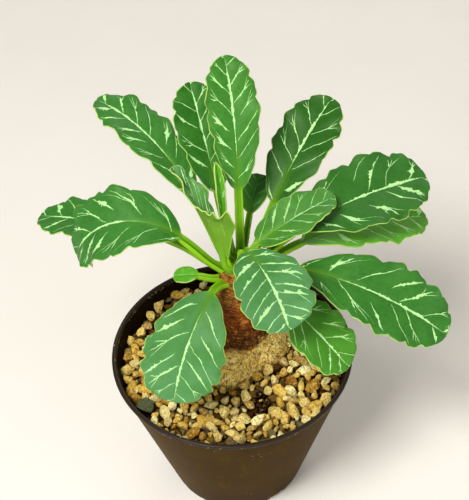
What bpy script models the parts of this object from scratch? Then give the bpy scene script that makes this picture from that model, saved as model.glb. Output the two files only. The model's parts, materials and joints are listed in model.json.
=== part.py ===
"""A young caudex-forming euphorbia in a round plastic nursery pot.

The origin is the middle of the pad under the pot, on the ground, Z is up and the side that
is looked at from above the front rim faces -Y. All sizes below are in millimetres.
"""

import math
import random
from collections import namedtuple

import bmesh
import bpy
import numpy as np
from mathutils import Vector
from mathutils.geometry import delaunay_2d_cdt

MM = 0.001

# Fits: the air left between pieces that touch
GAP = 0.3
CAUDEX_GAP = 0.45

# Pot
POT_RIM_R = 45.0
POT_HEIGHT = 66.0
POT_FOOT_R = 27.0
POT_UNDER_LIP_R = 44.2
POT_WALL = 0.9
LIP_HEIGHT = 1.7
LIP_ROUND = 0.4
FLOOR_UNDER = 2.4
FLOOR_THICK = 1.3
FOOT_RING_WIDE = 2.0
PAD_R = 6.0
PAD_DRAFT = 0.8
POT_SIDES = 64
DRAIN_R = 2.6
DRAIN_PITCH_R = 17.0
DRAIN_COUNT = 6
NOTCH_WIDE = 7.0
NOTCH_HIGH = 2.0

# Soil and grit
SOIL_TOP = 51.7
SOIL_SIDES = 48
GRIT_BOTTOM = 52.0
GRIT_LEVEL = 59.6
GRIT_MOUND = 2.2
GRIT_SPACING = (3.1, 4.7)
GRIT_TRIES = 9000
GRIT_EDGE = 1.7
GRIT_HIGH = (0.7, 1.9)
GRIT_DEEP = (0.9, 1.5)
GRIT_SHOULDER = 0.64
GRIT_SEED = 11
OUTER_GHOSTS = 64
INNER_GHOSTS = 30

# Caudex: height and radius of its plain outline
CAUDEX_X = 4.1
CAUDEX_Y = 1.2
CAUDEX_SIDES = 32
CAUDEX_OUTLINE = (
    (34.0, 5.0), (35.5, 8.0), (39.0, 10.6), (45.0, 12.6), (52.0, 14.4), (58.0, 15.6),
    (62.0, 15.9), (66.0, 15.4), (69.5, 14.0), (72.5, 12.2), (75.5, 10.7), (80.0, 9.8),
    (88.0, 9.3), (95.0, 9.0), (99.0, 8.4), (102.0, 7.6),
)
WRINKLE_STEP = 1.7
WRINKLE_DEEP = 0.28
CROWN_Z = 102.0
CROWN_R = 7.6

# Leaves
LEAF_ROWS = 11
STALK_ROWS = 5
SETTLE = 8.0
BLADE_THICK = 0.7
STALK_DEEP = 1.5
RIB_HALF = 0.8
RIB_DEEP = 0.9
LOBE_LONG = 7.0
LOBE_DEEP = 0.11
CURL_END = 0.4
FLARE = 1.8
FLARE_AT = 0.3

# Angles in degrees: turn is measured from +X towards +Y, rise from the horizontal. belly and
# point are the powers by which the outline widens from the stalk and narrows to the tip, and
# curl is how much further the left half folds over near the stalk
Leaf = namedtuple(
    "Leaf",
    "name seat_turn seat_rise turn rise stalk blade_rise tip_rise sweep blade wide roll fold wave"
    " stalk_wide belly point curl",
)
LEAVES = (
    Leaf("leaf_01", 84, 50, 88, 76, 24, 60, 48, 15, 45, 19, 0, 8, 1.0, 3.0, 0.74, 0.46, 0),
    Leaf("leaf_02", 104, 24, 108, 52, 24, 54, 46, 0, 39, 20, 0, 8, 1.0, 2.8, 0.74, 0.46, 0),
    Leaf("leaf_03", 130, 34, 125.5, 51, 25, 39, 4, 18, 52, 20, 2, 8, 1.2, 3.0, 0.8, 0.5, 0),
    Leaf("leaf_04", 155, 16, 153, 27, 23, 0, -14, 4, 52, 23, 0, 6, 1.0, 3.0, 0.74, 0.46, 0),
    Leaf("leaf_05", 180, 38, 164, 47, 19, 37, -72, 14, 46, 29, 20, 6, 1.2, 3.0, 0.74, 0.46, 0),
    Leaf("leaf_06", 222, 58, 130, 66, 5, 60, 32, 3, 36, 10.4, -10, 28, 1.6, 3.4, 0.55, 0.36, 80),
    Leaf("leaf_07", 146, 60, 90, 71, 13, 73, 70, 24, 23, 5, 0, 45, 0.2, 2.0, 0.74, 0.46, 0),
    Leaf("leaf_08", 52, 30, 56, 46, 21, 38, 27, -9, 43, 23, -6, 8, 1.1, 3.0, 0.74, 0.46, 0),
    Leaf("leaf_09", 78, 22, 73, 54, 16, 36, 16, -4, 15, 12, 0, 10, 0.5, 2.2, 0.74, 0.46, 0),
    Leaf("leaf_10", 12, 40, 26, 32, 19, 15, -4, -8, 51, 31, -15, 8, 1.1, 3.0, 0.74, 0.46, 0),
    Leaf("leaf_11", 25, 66, 24, 51, 7, 28, 10, -4, 31, 17.5, -7, 10, 0.8, 2.6, 0.48, 0.44, 0),
    Leaf("leaf_12", 24, 14, 22, 20, 18, 4, -15, -8, 49, 24, -10, 6, 1.1, 3.0, 0.74, 0.46, 0),
    Leaf("leaf_13", -16, 26, -16, 24, 15, -3, -29, -13, 54.5, 28, -18, 6, 1.1, 3.2, 0.74, 0.46, 0),
    Leaf("leaf_14", -82, 68, -64, 86, 15.5, 13, -56, -2, 32, 27, 0, 4, 0.9, 2.8, 0.74, 0.46, 0),
    Leaf("leaf_15", -44, 12, -42, 6, 11, -22, -40, 4, 33, 24, 0, 6, 0.8, 2.8, 0.74, 0.46, 0),
    Leaf("leaf_16", -138, 18, -124, 10, 7, -20, -64, 8, 40, 29, 20, 4, 0.9, 3.0, 0.74, 0.46, 0),
    Leaf("leaf_17", -170, 10, 170, 12, 7, 0, -16, 0, 8.6, 7.4, 10, 8, 0.3, 2.0, 0.6, 0.44, 0),
)


def pot_wall_r(z):
    """Outer radius of the straight tapered wall at a height."""
    share = z / (POT_HEIGHT - LIP_HEIGHT)
    return POT_FOOT_R + (POT_UNDER_LIP_R - POT_FOOT_R) * share


def inside_r(z):
    """Radius of what fills the pot at a height."""
    return pot_wall_r(z) - POT_WALL - GAP


def turned_ring(radius, z, sides, x=0.0, y=0.0):
    """Points of a level circle."""
    ring = []
    for k in range(sides):
        a = 2 * math.pi * k / sides
        ring.append((x + radius * math.cos(a), y + radius * math.sin(a), z))
    return ring


def ring_faces(low, high, sides):
    """Two triangles for each side of a band between two rings."""
    faces = []
    for k in range(sides):
        n = (k + 1) % sides
        faces.append((low + k, low + n, high + n))
        faces.append((low + k, high + n, high + k))
    return faces


def make_material(name, colour, roughness):
    material = bpy.data.materials.new(name)
    material.use_nodes = True
    shader = material.node_tree.nodes["Principled BSDF"]
    shader.inputs["Base Color"].default_value = (*colour, 1.0)
    shader.inputs["Roughness"].default_value = roughness
    return material


def make_piece(name, points, faces, colour, roughness, smooth=True):
    """A named object from millimetre points, its faces turned outward."""
    mesh = bpy.data.meshes.new(name)
    mesh.from_pydata([Vector(p) * MM for p in points], [], faces)
    shape = bmesh.new()
    shape.from_mesh(mesh)
    bmesh.ops.recalc_face_normals(shape, faces=shape.faces)
    shape.to_mesh(mesh)
    shape.free()
    for face in mesh.polygons:
        face.use_smooth = smooth
    piece = bpy.data.objects.new(name, mesh)
    bpy.context.collection.objects.link(piece)
    mesh.materials.append(make_material(name + "_skin", colour, roughness))
    return piece


def clear_scene():
    for item in list(bpy.data.objects):
        bpy.data.objects.remove(item, do_unlink=True)


# Pot: a thin tapered shell with a rolled lip, a raised floor, a foot ring and a middle pad


def pot_outline():
    """Radius and height round the shell, from the pad under the floor to the floor's top."""
    neck = POT_HEIGHT - LIP_HEIGHT
    bore = POT_UNDER_LIP_R - POT_WALL
    floor_top = FLOOR_UNDER + FLOOR_THICK
    return (
        (PAD_R, 0.0),
        (PAD_R + PAD_DRAFT, FLOOR_UNDER),
        (POT_FOOT_R - FOOT_RING_WIDE, FLOOR_UNDER),
        (POT_FOOT_R - FOOT_RING_WIDE, 0.0),
        (POT_FOOT_R, 0.0),
        (POT_UNDER_LIP_R, neck),
        (POT_RIM_R, neck + LIP_ROUND),
        (POT_RIM_R, POT_HEIGHT - LIP_ROUND),
        (POT_RIM_R - LIP_ROUND, POT_HEIGHT),
        (bore + LIP_ROUND, POT_HEIGHT),
        (bore, POT_HEIGHT - LIP_ROUND),
        (bore, neck),
        (pot_wall_r(floor_top) - POT_WALL, floor_top),
    )


def make_pot():
    outline = pot_outline()
    points = []
    faces = []
    for radius, z in outline:
        points.extend(turned_ring(radius, z, POT_SIDES))
    for k in range(len(outline) - 1):
        faces.extend(ring_faces(k * POT_SIDES, (k + 1) * POT_SIDES, POT_SIDES))
    last = (len(outline) - 1) * POT_SIDES
    faces.append(tuple(range(POT_SIDES)))
    faces.append(tuple(range(last, last + POT_SIDES)))
    return make_piece("pot", points, faces, (0.018, 0.014, 0.010), 0.4)


def make_cutter(name, points, faces, group):
    mesh = bpy.data.meshes.new(name)
    mesh.from_pydata([Vector(p) * MM for p in points], [], faces)
    shape = bmesh.new()
    shape.from_mesh(mesh)
    bmesh.ops.recalc_face_normals(shape, faces=shape.faces)
    shape.to_mesh(mesh)
    shape.free()
    cutter = bpy.data.objects.new(name, mesh)
    cutter.hide_render = True
    cutter.display_type = "WIRE"
    group.objects.link(cutter)


def drain_cutters(group):
    """Round holes through the raised floor."""
    sides = 12
    for k in range(DRAIN_COUNT):
        a = 2 * math.pi * (k + 0.5) / DRAIN_COUNT
        x = DRAIN_PITCH_R * math.cos(a)
        y = DRAIN_PITCH_R * math.sin(a)
        low = turned_ring(DRAIN_R, 1.0, sides, x, y)
        high = turned_ring(DRAIN_R, 5.0, sides, x, y)
        faces = ring_faces(0, sides, sides)
        faces.append(tuple(range(sides)))
        faces.append(tuple(range(sides, 2 * sides)))
        make_cutter(f"drain_{k}", low + high, faces, group)


def notch_cutters(group):
    """Slots through the foot ring that let water out from under the pot."""
    inner = POT_FOOT_R - FOOT_RING_WIDE - 2.0
    outer = POT_FOOT_R + 3.0
    for k in range(4):
        a = math.radians(-57 + 90 * k)
        out = Vector((math.cos(a), math.sin(a), 0.0))
        side = Vector((-math.sin(a), math.cos(a), 0.0)) * NOTCH_WIDE / 2
        corners = []
        for z in (-1.0, NOTCH_HIGH):
            for reach, sign in ((inner, -1), (outer, -1), (outer, 1), (inner, 1)):
                corners.append(tuple(out * reach + side * sign + Vector((0, 0, z))))
        faces = ring_faces(0, 4, 4)
        faces.append((0, 1, 2, 3))
        faces.append((4, 5, 6, 7))
        make_cutter(f"notch_{k}", corners, faces, group)


def cut_pot(pot):
    group = bpy.data.collections.new("pot_cutters")
    bpy.context.scene.collection.children.link(group)
    drain_cutters(group)
    notch_cutters(group)
    cut = pot.modifiers.new("openings", "BOOLEAN")
    cut.operation = "DIFFERENCE"
    cut.operand_type = "COLLECTION"
    cut.collection = group
    cut.solver = "EXACT"


# Caudex: one grown body from the hidden root to the dome that carries the leaves


def plain_caudex_r(z):
    heights = [row[0] for row in CAUDEX_OUTLINE]
    radii = [row[1] for row in CAUDEX_OUTLINE]
    return float(np.interp(z, heights, radii))


def bump(turn, centre, wide):
    """A smooth hump round one direction, angles in degrees."""
    off = (turn - centre + 180) % 360 - 180
    return math.exp(-((off / wide) ** 2))


def caudex_r(turn, z):
    """Radius with the swellings of the base and the slight waist of the stem."""
    base = max(0.0, min(1.0, (z - 44) / 14)) * max(0.0, min(1.0, (76 - z) / 8))
    swell = 3.8 * bump(turn, -128, 28) + 1.2 * bump(turn, 10, 30) + 0.8 * bump(turn, 95, 40)
    dent = 4.6 * bump(turn, -55, 34) + 0.9 * bump(turn, 160, 30)
    stem = max(0.0, min(1.0, (z - 70) / 8)) * max(0.0, min(1.0, (100 - z) / 6))
    lean = 0.7 * bump(turn, 185, 50) - 0.5 * bump(turn, 40, 40)
    return plain_caudex_r(z) + base * (swell - dent) + stem * lean


def caudex_heights():
    """Levels of the rings: those in the ground, the wrinkled stem, then the dome."""
    heights = [row[0] for row in CAUDEX_OUTLINE if row[0] <= 62]
    count = round((CROWN_Z - 62) / WRINKLE_STEP)
    for k in range(1, count + 1):
        heights.append(62 + (CROWN_Z - 62) * k / count)
    for rise in (24, 44, 62, 78):
        heights.append(CROWN_Z + CROWN_R * math.sin(math.radians(rise)))
    return heights


def make_caudex():
    heights = caudex_heights()
    rng = random.Random(5)
    points = []
    faces = []
    for row, z in enumerate(heights):
        wrinkle = WRINKLE_DEEP * (1 if row % 2 else -1) * (63 < z < 100)
        sag = [rng.uniform(-0.3, 0.3) for _ in range(CAUDEX_SIDES)]
        for k in range(CAUDEX_SIDES):
            turn = 360 * k / CAUDEX_SIDES
            if z > CROWN_Z:
                radius = math.sqrt(CROWN_R**2 - (z - CROWN_Z) ** 2)
            else:
                radius = caudex_r(turn, z)
            fade = 0.5 + 0.5 * math.sin(math.radians(turn * 2 + row * 37))
            radius += wrinkle * fade
            lift = sag[k] * (63 < z < 100)
            a = math.radians(turn)
            points.append(
                (CAUDEX_X + radius * math.cos(a), CAUDEX_Y + radius * math.sin(a), z + lift)
            )
    for row in range(len(heights) - 1):
        faces.extend(ring_faces(row * CAUDEX_SIDES, (row + 1) * CAUDEX_SIDES, CAUDEX_SIDES))
    last = (len(heights) - 1) * CAUDEX_SIDES
    low = len(points)
    points.append((CAUDEX_X, CAUDEX_Y, heights[0] - 0.8))
    points.append((CAUDEX_X, CAUDEX_Y, CROWN_Z + CROWN_R))
    for k in range(CAUDEX_SIDES):
        n = (k + 1) % CAUDEX_SIDES
        faces.append((k, n, low))
        faces.append((last + k, last + n, low + 1))
    return make_piece("caudex", points, faces, (0.30, 0.17, 0.07), 0.85)


# Soil: a plug under the grit with a plain hole for the root


def make_soil():
    floor = FLOOR_UNDER + FLOOR_THICK + GAP
    hole = ((SOIL_TOP, 52.0), (45.0, 45.0), (39.0, 39.0), (33.0, 35.5))
    points = turned_ring(inside_r(floor), floor, SOIL_SIDES)
    points += turned_ring(inside_r(SOIL_TOP), SOIL_TOP, SOIL_SIDES)
    for z, root_z in hole:
        for k in range(SOIL_SIDES):
            turn = 360 * k / SOIL_SIDES
            radius = caudex_r(turn, root_z) + CAUDEX_GAP
            a = math.radians(turn)
            points.append((CAUDEX_X + radius * math.cos(a), CAUDEX_Y + radius * math.sin(a), z))
    faces = []
    rows = 2 + len(hole)
    for row in range(rows - 1):
        faces.extend(ring_faces(row * SOIL_SIDES, (row + 1) * SOIL_SIDES, SOIL_SIDES))
    low = len(points)
    points.append((0.0, 0.0, floor))
    points.append((CAUDEX_X, CAUDEX_Y, hole[-1][0]))
    last = (rows - 1) * SOIL_SIDES
    for k in range(SOIL_SIDES):
        n = (k + 1) % SOIL_SIDES
        faces.append((k, n, low))
        faces.append((last + k, last + n, low + 1))
    return make_piece("soil", points, faces, (0.05, 0.032, 0.02), 0.95)


# Grit: one bed whose top is raised into rounded, angular grains


def polar_from_caudex(x, y):
    dx = x - CAUDEX_X
    dy = y - CAUDEX_Y
    return math.hypot(dx, dy), math.degrees(math.atan2(dy, dx))


def grit_hole_r(turn):
    """The plain upright hole in the bed follows the caudex where the two meet."""
    return caudex_r(turn, 62.0) + CAUDEX_GAP


def grit_level(x, y):
    """The bed lies a little higher against the caudex than at the pot wall."""
    away, _ = polar_from_caudex(x, y)
    return GRIT_LEVEL + GRIT_MOUND * math.exp(-((away - 15) / 9) ** 2)


def grit_seeds(rng):
    """Grain middles: spaced points in the ring between the caudex and the wall."""
    seeds = []
    limit = inside_r(GRIT_LEVEL) - GRIT_EDGE
    for _ in range(GRIT_TRIES):
        x = rng.uniform(-limit, limit)
        y = rng.uniform(-limit, limit)
        away, turn = polar_from_caudex(x, y)
        space = rng.uniform(*GRIT_SPACING)
        if math.hypot(x, y) > limit or away < grit_hole_r(turn) + GRIT_EDGE:
            continue
        if all(math.hypot(x - s[0], y - s[1]) > (space + s[2]) / 2 for s in seeds):
            seeds.append((x, y, space))
    return seeds


def ghost_seeds():
    """Points beyond both edges that close the outermost and innermost grains."""
    ghosts = []
    for k in range(OUTER_GHOSTS):
        a = 2 * math.pi * k / OUTER_GHOSTS
        radius = inside_r(GRIT_LEVEL) + GRIT_EDGE
        ghosts.append((radius * math.cos(a), radius * math.sin(a)))
    for k in range(INNER_GHOSTS):
        turn = 360 * k / INNER_GHOSTS
        radius = grit_hole_r(turn) - GRIT_EDGE
        a = math.radians(turn)
        ghosts.append((CAUDEX_X + radius * math.cos(a), CAUDEX_Y + radius * math.sin(a)))
    return ghosts


def edge_place(x, y, outer, z):
    """The same direction, moved onto the bed's outer or inner edge."""
    if outer:
        scale = inside_r(z) / math.hypot(x, y)
        return x * scale, y * scale
    _, turn = polar_from_caudex(x, y)
    radius = grit_hole_r(turn)
    a = math.radians(turn)
    return CAUDEX_X + radius * math.cos(a), CAUDEX_Y + radius * math.sin(a)


class GritBed:
    """Collects the points and faces of the bed while its grains are raised."""

    def __init__(self, rng):
        self.rng = rng
        self.points = []
        self.faces = []
        self.edges = {}

    def add(self, x, y, z):
        self.points.append((x, y, z))
        return len(self.points) - 1

    def corner(self, cell, seeds):
        """The low place between three neighbouring grains."""
        x = sum(seeds[k][0] for k in cell) / 3
        y = sum(seeds[k][1] for k in cell) / 3
        return x, y

    def grain(self, seed, corners, high):
        """A shouldered, tilted top over the corners round one grain."""
        x, y = seed
        slope_x = self.rng.uniform(-0.22, 0.22)
        slope_y = self.rng.uniform(-0.22, 0.22)
        top_z = grit_level(x, y) + high
        top = self.add(x, y, top_z)
        ring = []
        for k in corners:
            dx = (self.points[k][0] - x) * GRIT_SHOULDER
            dy = (self.points[k][1] - y) * GRIT_SHOULDER
            z = top_z - high * self.rng.uniform(0.25, 0.5) + dx * slope_x + dy * slope_y
            ring.append(self.add(x + dx, y + dy, z))
        count = len(corners)
        for k in range(count):
            n = (k + 1) % count
            self.faces.append((corners[k], corners[n], ring[n]))
            self.faces.append((corners[k], ring[n], ring[k]))
            self.faces.append((ring[k], ring[n], top))


def edge_loops(faces):
    """The open edges of a sheet of faces, as closed loops of point numbers."""
    follows = {}
    seen = set()
    for face in faces:
        for k in range(3):
            seen.add((face[k], face[(k + 1) % 3]))
    for a, b in seen:
        if (b, a) not in seen:
            follows[a] = b
    loops = []
    while follows:
        start, nxt = follows.popitem()
        loop = [start]
        while nxt != start:
            loop.append(nxt)
            nxt = follows.pop(nxt)
        loops.append(loop)
    return loops


def raise_grains(bed):
    """Every real seed becomes a grain over the corners of its cell."""
    middles = grit_seeds(bed.rng)
    real = len(middles)
    seeds = [(s[0], s[1]) for s in middles] + ghost_seeds()
    result = delaunay_2d_cdt([Vector(s) for s in seeds], [], [], 0, 1e-6)
    cells = {k: [] for k in range(real)}
    for cell in result[2]:
        origins = [result[3][k][0] for k in cell]
        if min(origins) >= real:
            continue
        x, y = bed.corner(origins, seeds)
        z = grit_level(x, y) - bed.rng.uniform(*GRIT_DEEP)
        ghosts = [k for k in origins if k >= real]
        if ghosts:
            x, y = edge_place(x, y, ghosts[0] < real + OUTER_GHOSTS, z)
        corner = bed.add(x, y, z)
        for k in origins:
            if k < real:
                cells[k].append(corner)
    for k in range(real):
        x, y = seeds[k]
        cells[k].sort(
            key=lambda c: math.atan2(bed.points[c][1] - y, bed.points[c][0] - x)
        )
        bed.grain((x, y), cells[k], bed.rng.uniform(*GRIT_HIGH))


def make_grit():
    bed = GritBed(random.Random(GRIT_SEED))
    raise_grains(bed)
    for loop in edge_loops(bed.faces):
        reach = max(math.hypot(*bed.points[k][:2]) for k in loop)
        outer = reach > inside_r(GRIT_LEVEL) - 1
        under = []
        for k in loop:
            x, y = edge_place(*bed.points[k][:2], outer, GRIT_BOTTOM)
            under.append(bed.add(x, y, GRIT_BOTTOM))
        count = len(loop)
        for k in range(count):
            n = (k + 1) % count
            bed.faces.append((loop[n], loop[k], under[k]))
            bed.faces.append((loop[n], under[k], under[n]))
    close_underside(bed)
    return make_piece("grit", bed.points, bed.faces, (0.45, 0.30, 0.13), 0.9, smooth=False)


def close_underside(bed):
    """The flat ring under the bed, between its two bottom edges."""
    loops = edge_loops(bed.faces)
    flat = []
    edges = []
    for loop in loops:
        first = len(flat)
        flat.extend(loop)
        for k in range(len(loop)):
            edges.append((first + k, first + (k + 1) % len(loop)))
    places = [Vector(bed.points[k][:2]) for k in flat]
    result = delaunay_2d_cdt(places, edges, [], 0, 1e-6)
    for face in result[2]:
        corners = [flat[result[3][k][0]] for k in face]
        x = sum(bed.points[k][0] for k in corners) / 3
        y = sum(bed.points[k][1] for k in corners) / 3
        away, turn = polar_from_caudex(x, y)
        if away > grit_hole_r(turn) - 0.05:
            bed.faces.append(tuple(corners))


# Leaves: stalk, midrib and blade are one solid each


def heading(turn, rise):
    a = math.radians(turn)
    e = math.radians(rise)
    return np.array([math.cos(e) * math.cos(a), math.cos(e) * math.sin(a), math.sin(e)])


def leaf_path(leaf, distances):
    """Places, directions and turns along the middle of a leaf, from its seat outward."""
    settle = min(SETTLE, leaf.stalk * 0.6)
    marks = (0.0, settle, leaf.stalk, leaf.stalk + leaf.blade)
    first = leaf.seat_turn + (leaf.turn - leaf.seat_turn + 180) % 360 - 180
    turns = (leaf.seat_turn, first, first, first + leaf.sweep)
    rises = (leaf.seat_rise, leaf.rise, leaf.blade_rise, leaf.tip_rise)
    place = np.array([CAUDEX_X, CAUDEX_Y, CROWN_Z])
    place = place + heading(leaf.seat_turn, leaf.seat_rise) * (CROWN_R + GAP)
    path = []
    at = 0.0
    for distance in distances:
        count = max(1, math.ceil((distance - at) / 0.5))
        step = (distance - at) / count
        for k in range(count):
            mid = at + step * (k + 0.5)
            place = place + step * heading(
                np.interp(mid, marks, turns), np.interp(mid, marks, rises)
            )
        at = distance
        turn = np.interp(at, marks, turns)
        path.append((place, heading(turn, np.interp(at, marks, rises)), turn))
    return path


def blade_share(u):
    """Rows crowd towards the tip, where the outline turns fastest."""
    return 1 - (1 - u) ** 1.6


def spread(leaf, t):
    """Half width of a spatula-shaped blade, 1 at its widest."""
    widest = leaf.belly / (leaf.belly + leaf.point)
    full = widest**leaf.belly * (1 - widest) ** leaf.point
    return t**leaf.belly * (1 - t) ** leaf.point / full


def left_curl(leaf, t):
    """How far the left half folds over, in degrees; it opens out past the first third."""
    return leaf.curl * (0.2 + 0.8 / (1 + math.exp((t - CURL_END) / 0.055)))


def lobe_count(leaf):
    return max(3, round(leaf.blade / LOBE_LONG))


def sheet_point(leaf, path_point, u, v):
    """A point of the middle sheet; u runs along the blade, v across it from -1 to 1."""
    place, along, turn = path_point
    t = blade_share(u)
    a = math.radians(turn)
    across = np.array([math.sin(a), -math.cos(a), 0.0])
    up = np.cross(across, along)
    roll = math.radians(leaf.roll) * min(1.0, 3 * t)
    across, up = (
        across * math.cos(roll) + up * math.sin(roll),
        up * math.cos(roll) - across * math.sin(roll),
    )
    stalk_half = leaf.stalk_wide / 2 * (1 - t)
    half = stalk_half + max(0.0, leaf.wide / 2 - stalk_half) * spread(leaf, t)
    shift = 0.0 if v > 0 else 0.37
    lobes = lobe_count(leaf)
    edge = max(0.0, abs(v) - 0.55) / 0.45
    notch = (1 - abs(math.sin(math.pi * (lobes * u + shift)))) ** 1.5
    half *= 1 - LOBE_DEEP * min(1.0, leaf.blade / 30) * edge * min(1.0, 4 * u) * notch
    curl = left_curl(leaf, t) if v < 0 else 0.0
    half *= 1 + FLARE * curl / 90 * math.exp(-(((t - FLARE_AT) / 0.17) ** 2))
    fade = min(1.0, 3 * u) * min(1.0, 0.25 + 5 * (1 - t))
    ripple = leaf.wave * v * v * fade * math.sin(math.pi * (lobes * u + shift * 2.6))
    fold = math.radians(leaf.fold + curl * min(1.0, 2 * abs(v)))
    width = v * half
    return place + across * width * math.cos(fold) + up * (abs(width) * math.sin(fold) + ripple)


def leaf_columns(leaf, u):
    """Places across the leaf: margin, mid blade, flank of the rib, rib."""
    t = blade_share(u)
    half = leaf.stalk_wide / 2 * (1 - t) + leaf.wide / 2 * spread(leaf, t)
    flank = min(0.33, RIB_HALF / max(half, 0.1))
    return (-1.0, -0.6, -flank, 0.0, flank, 0.6, 1.0)


def leaf_sheet(leaf, rows):
    """The middle sheet: points, how deep each is above and below, and triangles."""
    stalk = [leaf.stalk * k / STALK_ROWS for k in range(STALK_ROWS)]
    steps = [k / (2 * rows) for k in range(2 * rows + 1)]
    blade = [leaf.stalk + leaf.blade * blade_share(u) for u in steps]
    path = leaf_path(leaf, stalk + blade)
    points, above, below, grid, halves = [], [], [], [], []

    def add(station, u, v, rib):
        points.append(sheet_point(leaf, path[station], u, v))
        bow = max(0.0, 1 - abs(v / 0.6)) if rib > RIB_DEEP else 1.0 * (v == 0)
        above.append(BLADE_THICK / 2 - 0.2 * (v == 0))
        below.append(BLADE_THICK / 2 + rib * bow)
        return len(points) - 1

    for k in range(STALK_ROWS):
        grid.append([add(k, 0.0, v, STALK_DEEP) for v in leaf_columns(leaf, 0.0)])
    for k in range(rows):
        u = k / rows
        rib = STALK_DEEP if k == 0 else RIB_DEEP * (1 - 0.7 * u)
        grid.append([add(STALK_ROWS + 2 * k, u, v, rib) for v in leaf_columns(leaf, u)])
    for k in range(rows):
        u = (k + 0.5) / rows
        halves.append([add(STALK_ROWS + 2 * k + 1, u, v, 0.0) for v in (-1.0, 1.0)])
    tip = add(len(path) - 1, 1.0, 0.0, 0.0)
    faces = sheet_faces(grid, halves, tip)
    rim = sheet_rim(grid, halves, tip)
    return points, above, below, faces, rim


def sheet_faces(grid, halves, tip):
    """Triangles of the sheet, with twice the rows along the waved margins."""
    faces = []
    for row in range(len(grid) - 1):
        near, far = grid[row], grid[row + 1]
        for k in range(1, 5):
            faces.append((near[k], near[k + 1], far[k + 1]))
            faces.append((near[k], far[k + 1], far[k]))
        between = row - STALK_ROWS
        left = halves[between][0] if between >= 0 else None
        right = halves[between][1] if between >= 0 else None
        faces.extend(margin_faces(near[1], far[1], near[0], left, far[0], True))
        faces.extend(margin_faces(near[5], far[5], near[6], right, far[6], False))
    last = grid[-1]
    left, right = halves[-1]
    for k in range(1, 5):
        faces.append((last[k], last[k + 1], tip))
    faces.append((last[0], last[1], left))
    faces.append((left, last[1], tip))
    faces.append((last[5], last[6], right))
    faces.append((last[5], right, tip))
    return faces


def margin_faces(near, far, edge_near, edge_mid, edge_far, left):
    if edge_mid is None:
        faces = [(near, edge_near, edge_far), (near, edge_far, far)]
    else:
        faces = [(near, edge_near, edge_mid), (near, edge_mid, far), (far, edge_mid, edge_far)]
    if left:
        faces = [(a, c, b) for a, b, c in faces]
    return faces


def sheet_rim(grid, halves, tip):
    """The closed loop of points round the leaf."""
    left, right = [], []
    for row, line in enumerate(grid):
        left.append(line[0])
        right.append(line[-1])
        between = row - STALK_ROWS
        if between >= 0:
            left.append(halves[between][0])
            right.append(halves[between][1])
    return left[::-1] + grid[0][1:-1] + right + [tip]


def sheet_normals(points, faces):
    places = np.array(points)
    corners = np.array(faces)
    flat = np.cross(
        places[corners[:, 1]] - places[corners[:, 0]],
        places[corners[:, 2]] - places[corners[:, 0]],
    )
    normals = np.zeros_like(places)
    for k in range(3):
        np.add.at(normals, corners[:, k], flat)
    return normals / np.linalg.norm(normals, axis=1)[:, None]


def leaf_colour(leaf):
    """The youngest leaves in the middle are a brighter, yellower green."""
    if leaf.name in ("leaf_06", "leaf_07", "leaf_11", "leaf_17"):
        return (0.13, 0.36, 0.05)
    return (0.045, 0.22, 0.045)


def make_leaf(leaf):
    rows = LEAF_ROWS if leaf.blade > 31 and leaf.wide > 11 else 7
    points, above, below, faces, rim = leaf_sheet(leaf, rows)
    normals = sheet_normals(points, faces)
    places = np.array(points)
    top = places + normals * np.array(above)[:, None]
    under = places - normals * np.array(below)[:, None]
    count = len(points)
    solid = list(faces)
    solid += [(c + count, b + count, a + count) for a, b, c in faces]
    for k in range(len(rim)):
        a = rim[k]
        b = rim[(k + 1) % len(rim)]
        solid.append((b, a, a + count))
        solid.append((b, a + count, b + count))
    corners = [tuple(p) for p in np.concatenate((top, under))]
    return make_piece(leaf.name, corners, solid, leaf_colour(leaf), 0.5)


clear_scene()
cut_pot(make_pot())
make_soil()
make_grit()
make_caudex()
for leaf_row in LEAVES:
    make_leaf(leaf_row)
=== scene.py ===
import json
import math
import random
from collections import namedtuple

import bmesh
import bpy
import numpy as np
from mathutils import Matrix, Vector, noise

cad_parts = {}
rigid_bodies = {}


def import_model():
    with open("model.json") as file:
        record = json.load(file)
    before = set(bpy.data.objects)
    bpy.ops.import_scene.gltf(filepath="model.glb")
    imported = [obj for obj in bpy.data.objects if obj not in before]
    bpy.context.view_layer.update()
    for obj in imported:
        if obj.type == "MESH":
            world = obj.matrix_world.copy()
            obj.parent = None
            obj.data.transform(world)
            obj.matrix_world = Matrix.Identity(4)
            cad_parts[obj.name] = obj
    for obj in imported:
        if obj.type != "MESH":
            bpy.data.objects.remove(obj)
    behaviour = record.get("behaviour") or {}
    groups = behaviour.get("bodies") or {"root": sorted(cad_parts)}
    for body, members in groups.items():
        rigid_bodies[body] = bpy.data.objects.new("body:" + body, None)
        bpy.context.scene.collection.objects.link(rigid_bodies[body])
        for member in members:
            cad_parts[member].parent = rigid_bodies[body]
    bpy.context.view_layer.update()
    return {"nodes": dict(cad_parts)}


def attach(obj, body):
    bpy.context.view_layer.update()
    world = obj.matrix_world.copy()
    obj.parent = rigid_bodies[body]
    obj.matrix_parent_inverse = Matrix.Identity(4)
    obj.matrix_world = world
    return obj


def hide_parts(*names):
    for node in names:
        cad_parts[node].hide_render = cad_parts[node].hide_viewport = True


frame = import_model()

# Pot: a round nursery pot, injection-moulded in thin dark brown plastic, with a rolled lip,
# a raised floor with drain holes and a foot ring with four slots. Its satin skin carries
# dried water film, dust specks and rubbed marks.

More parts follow.
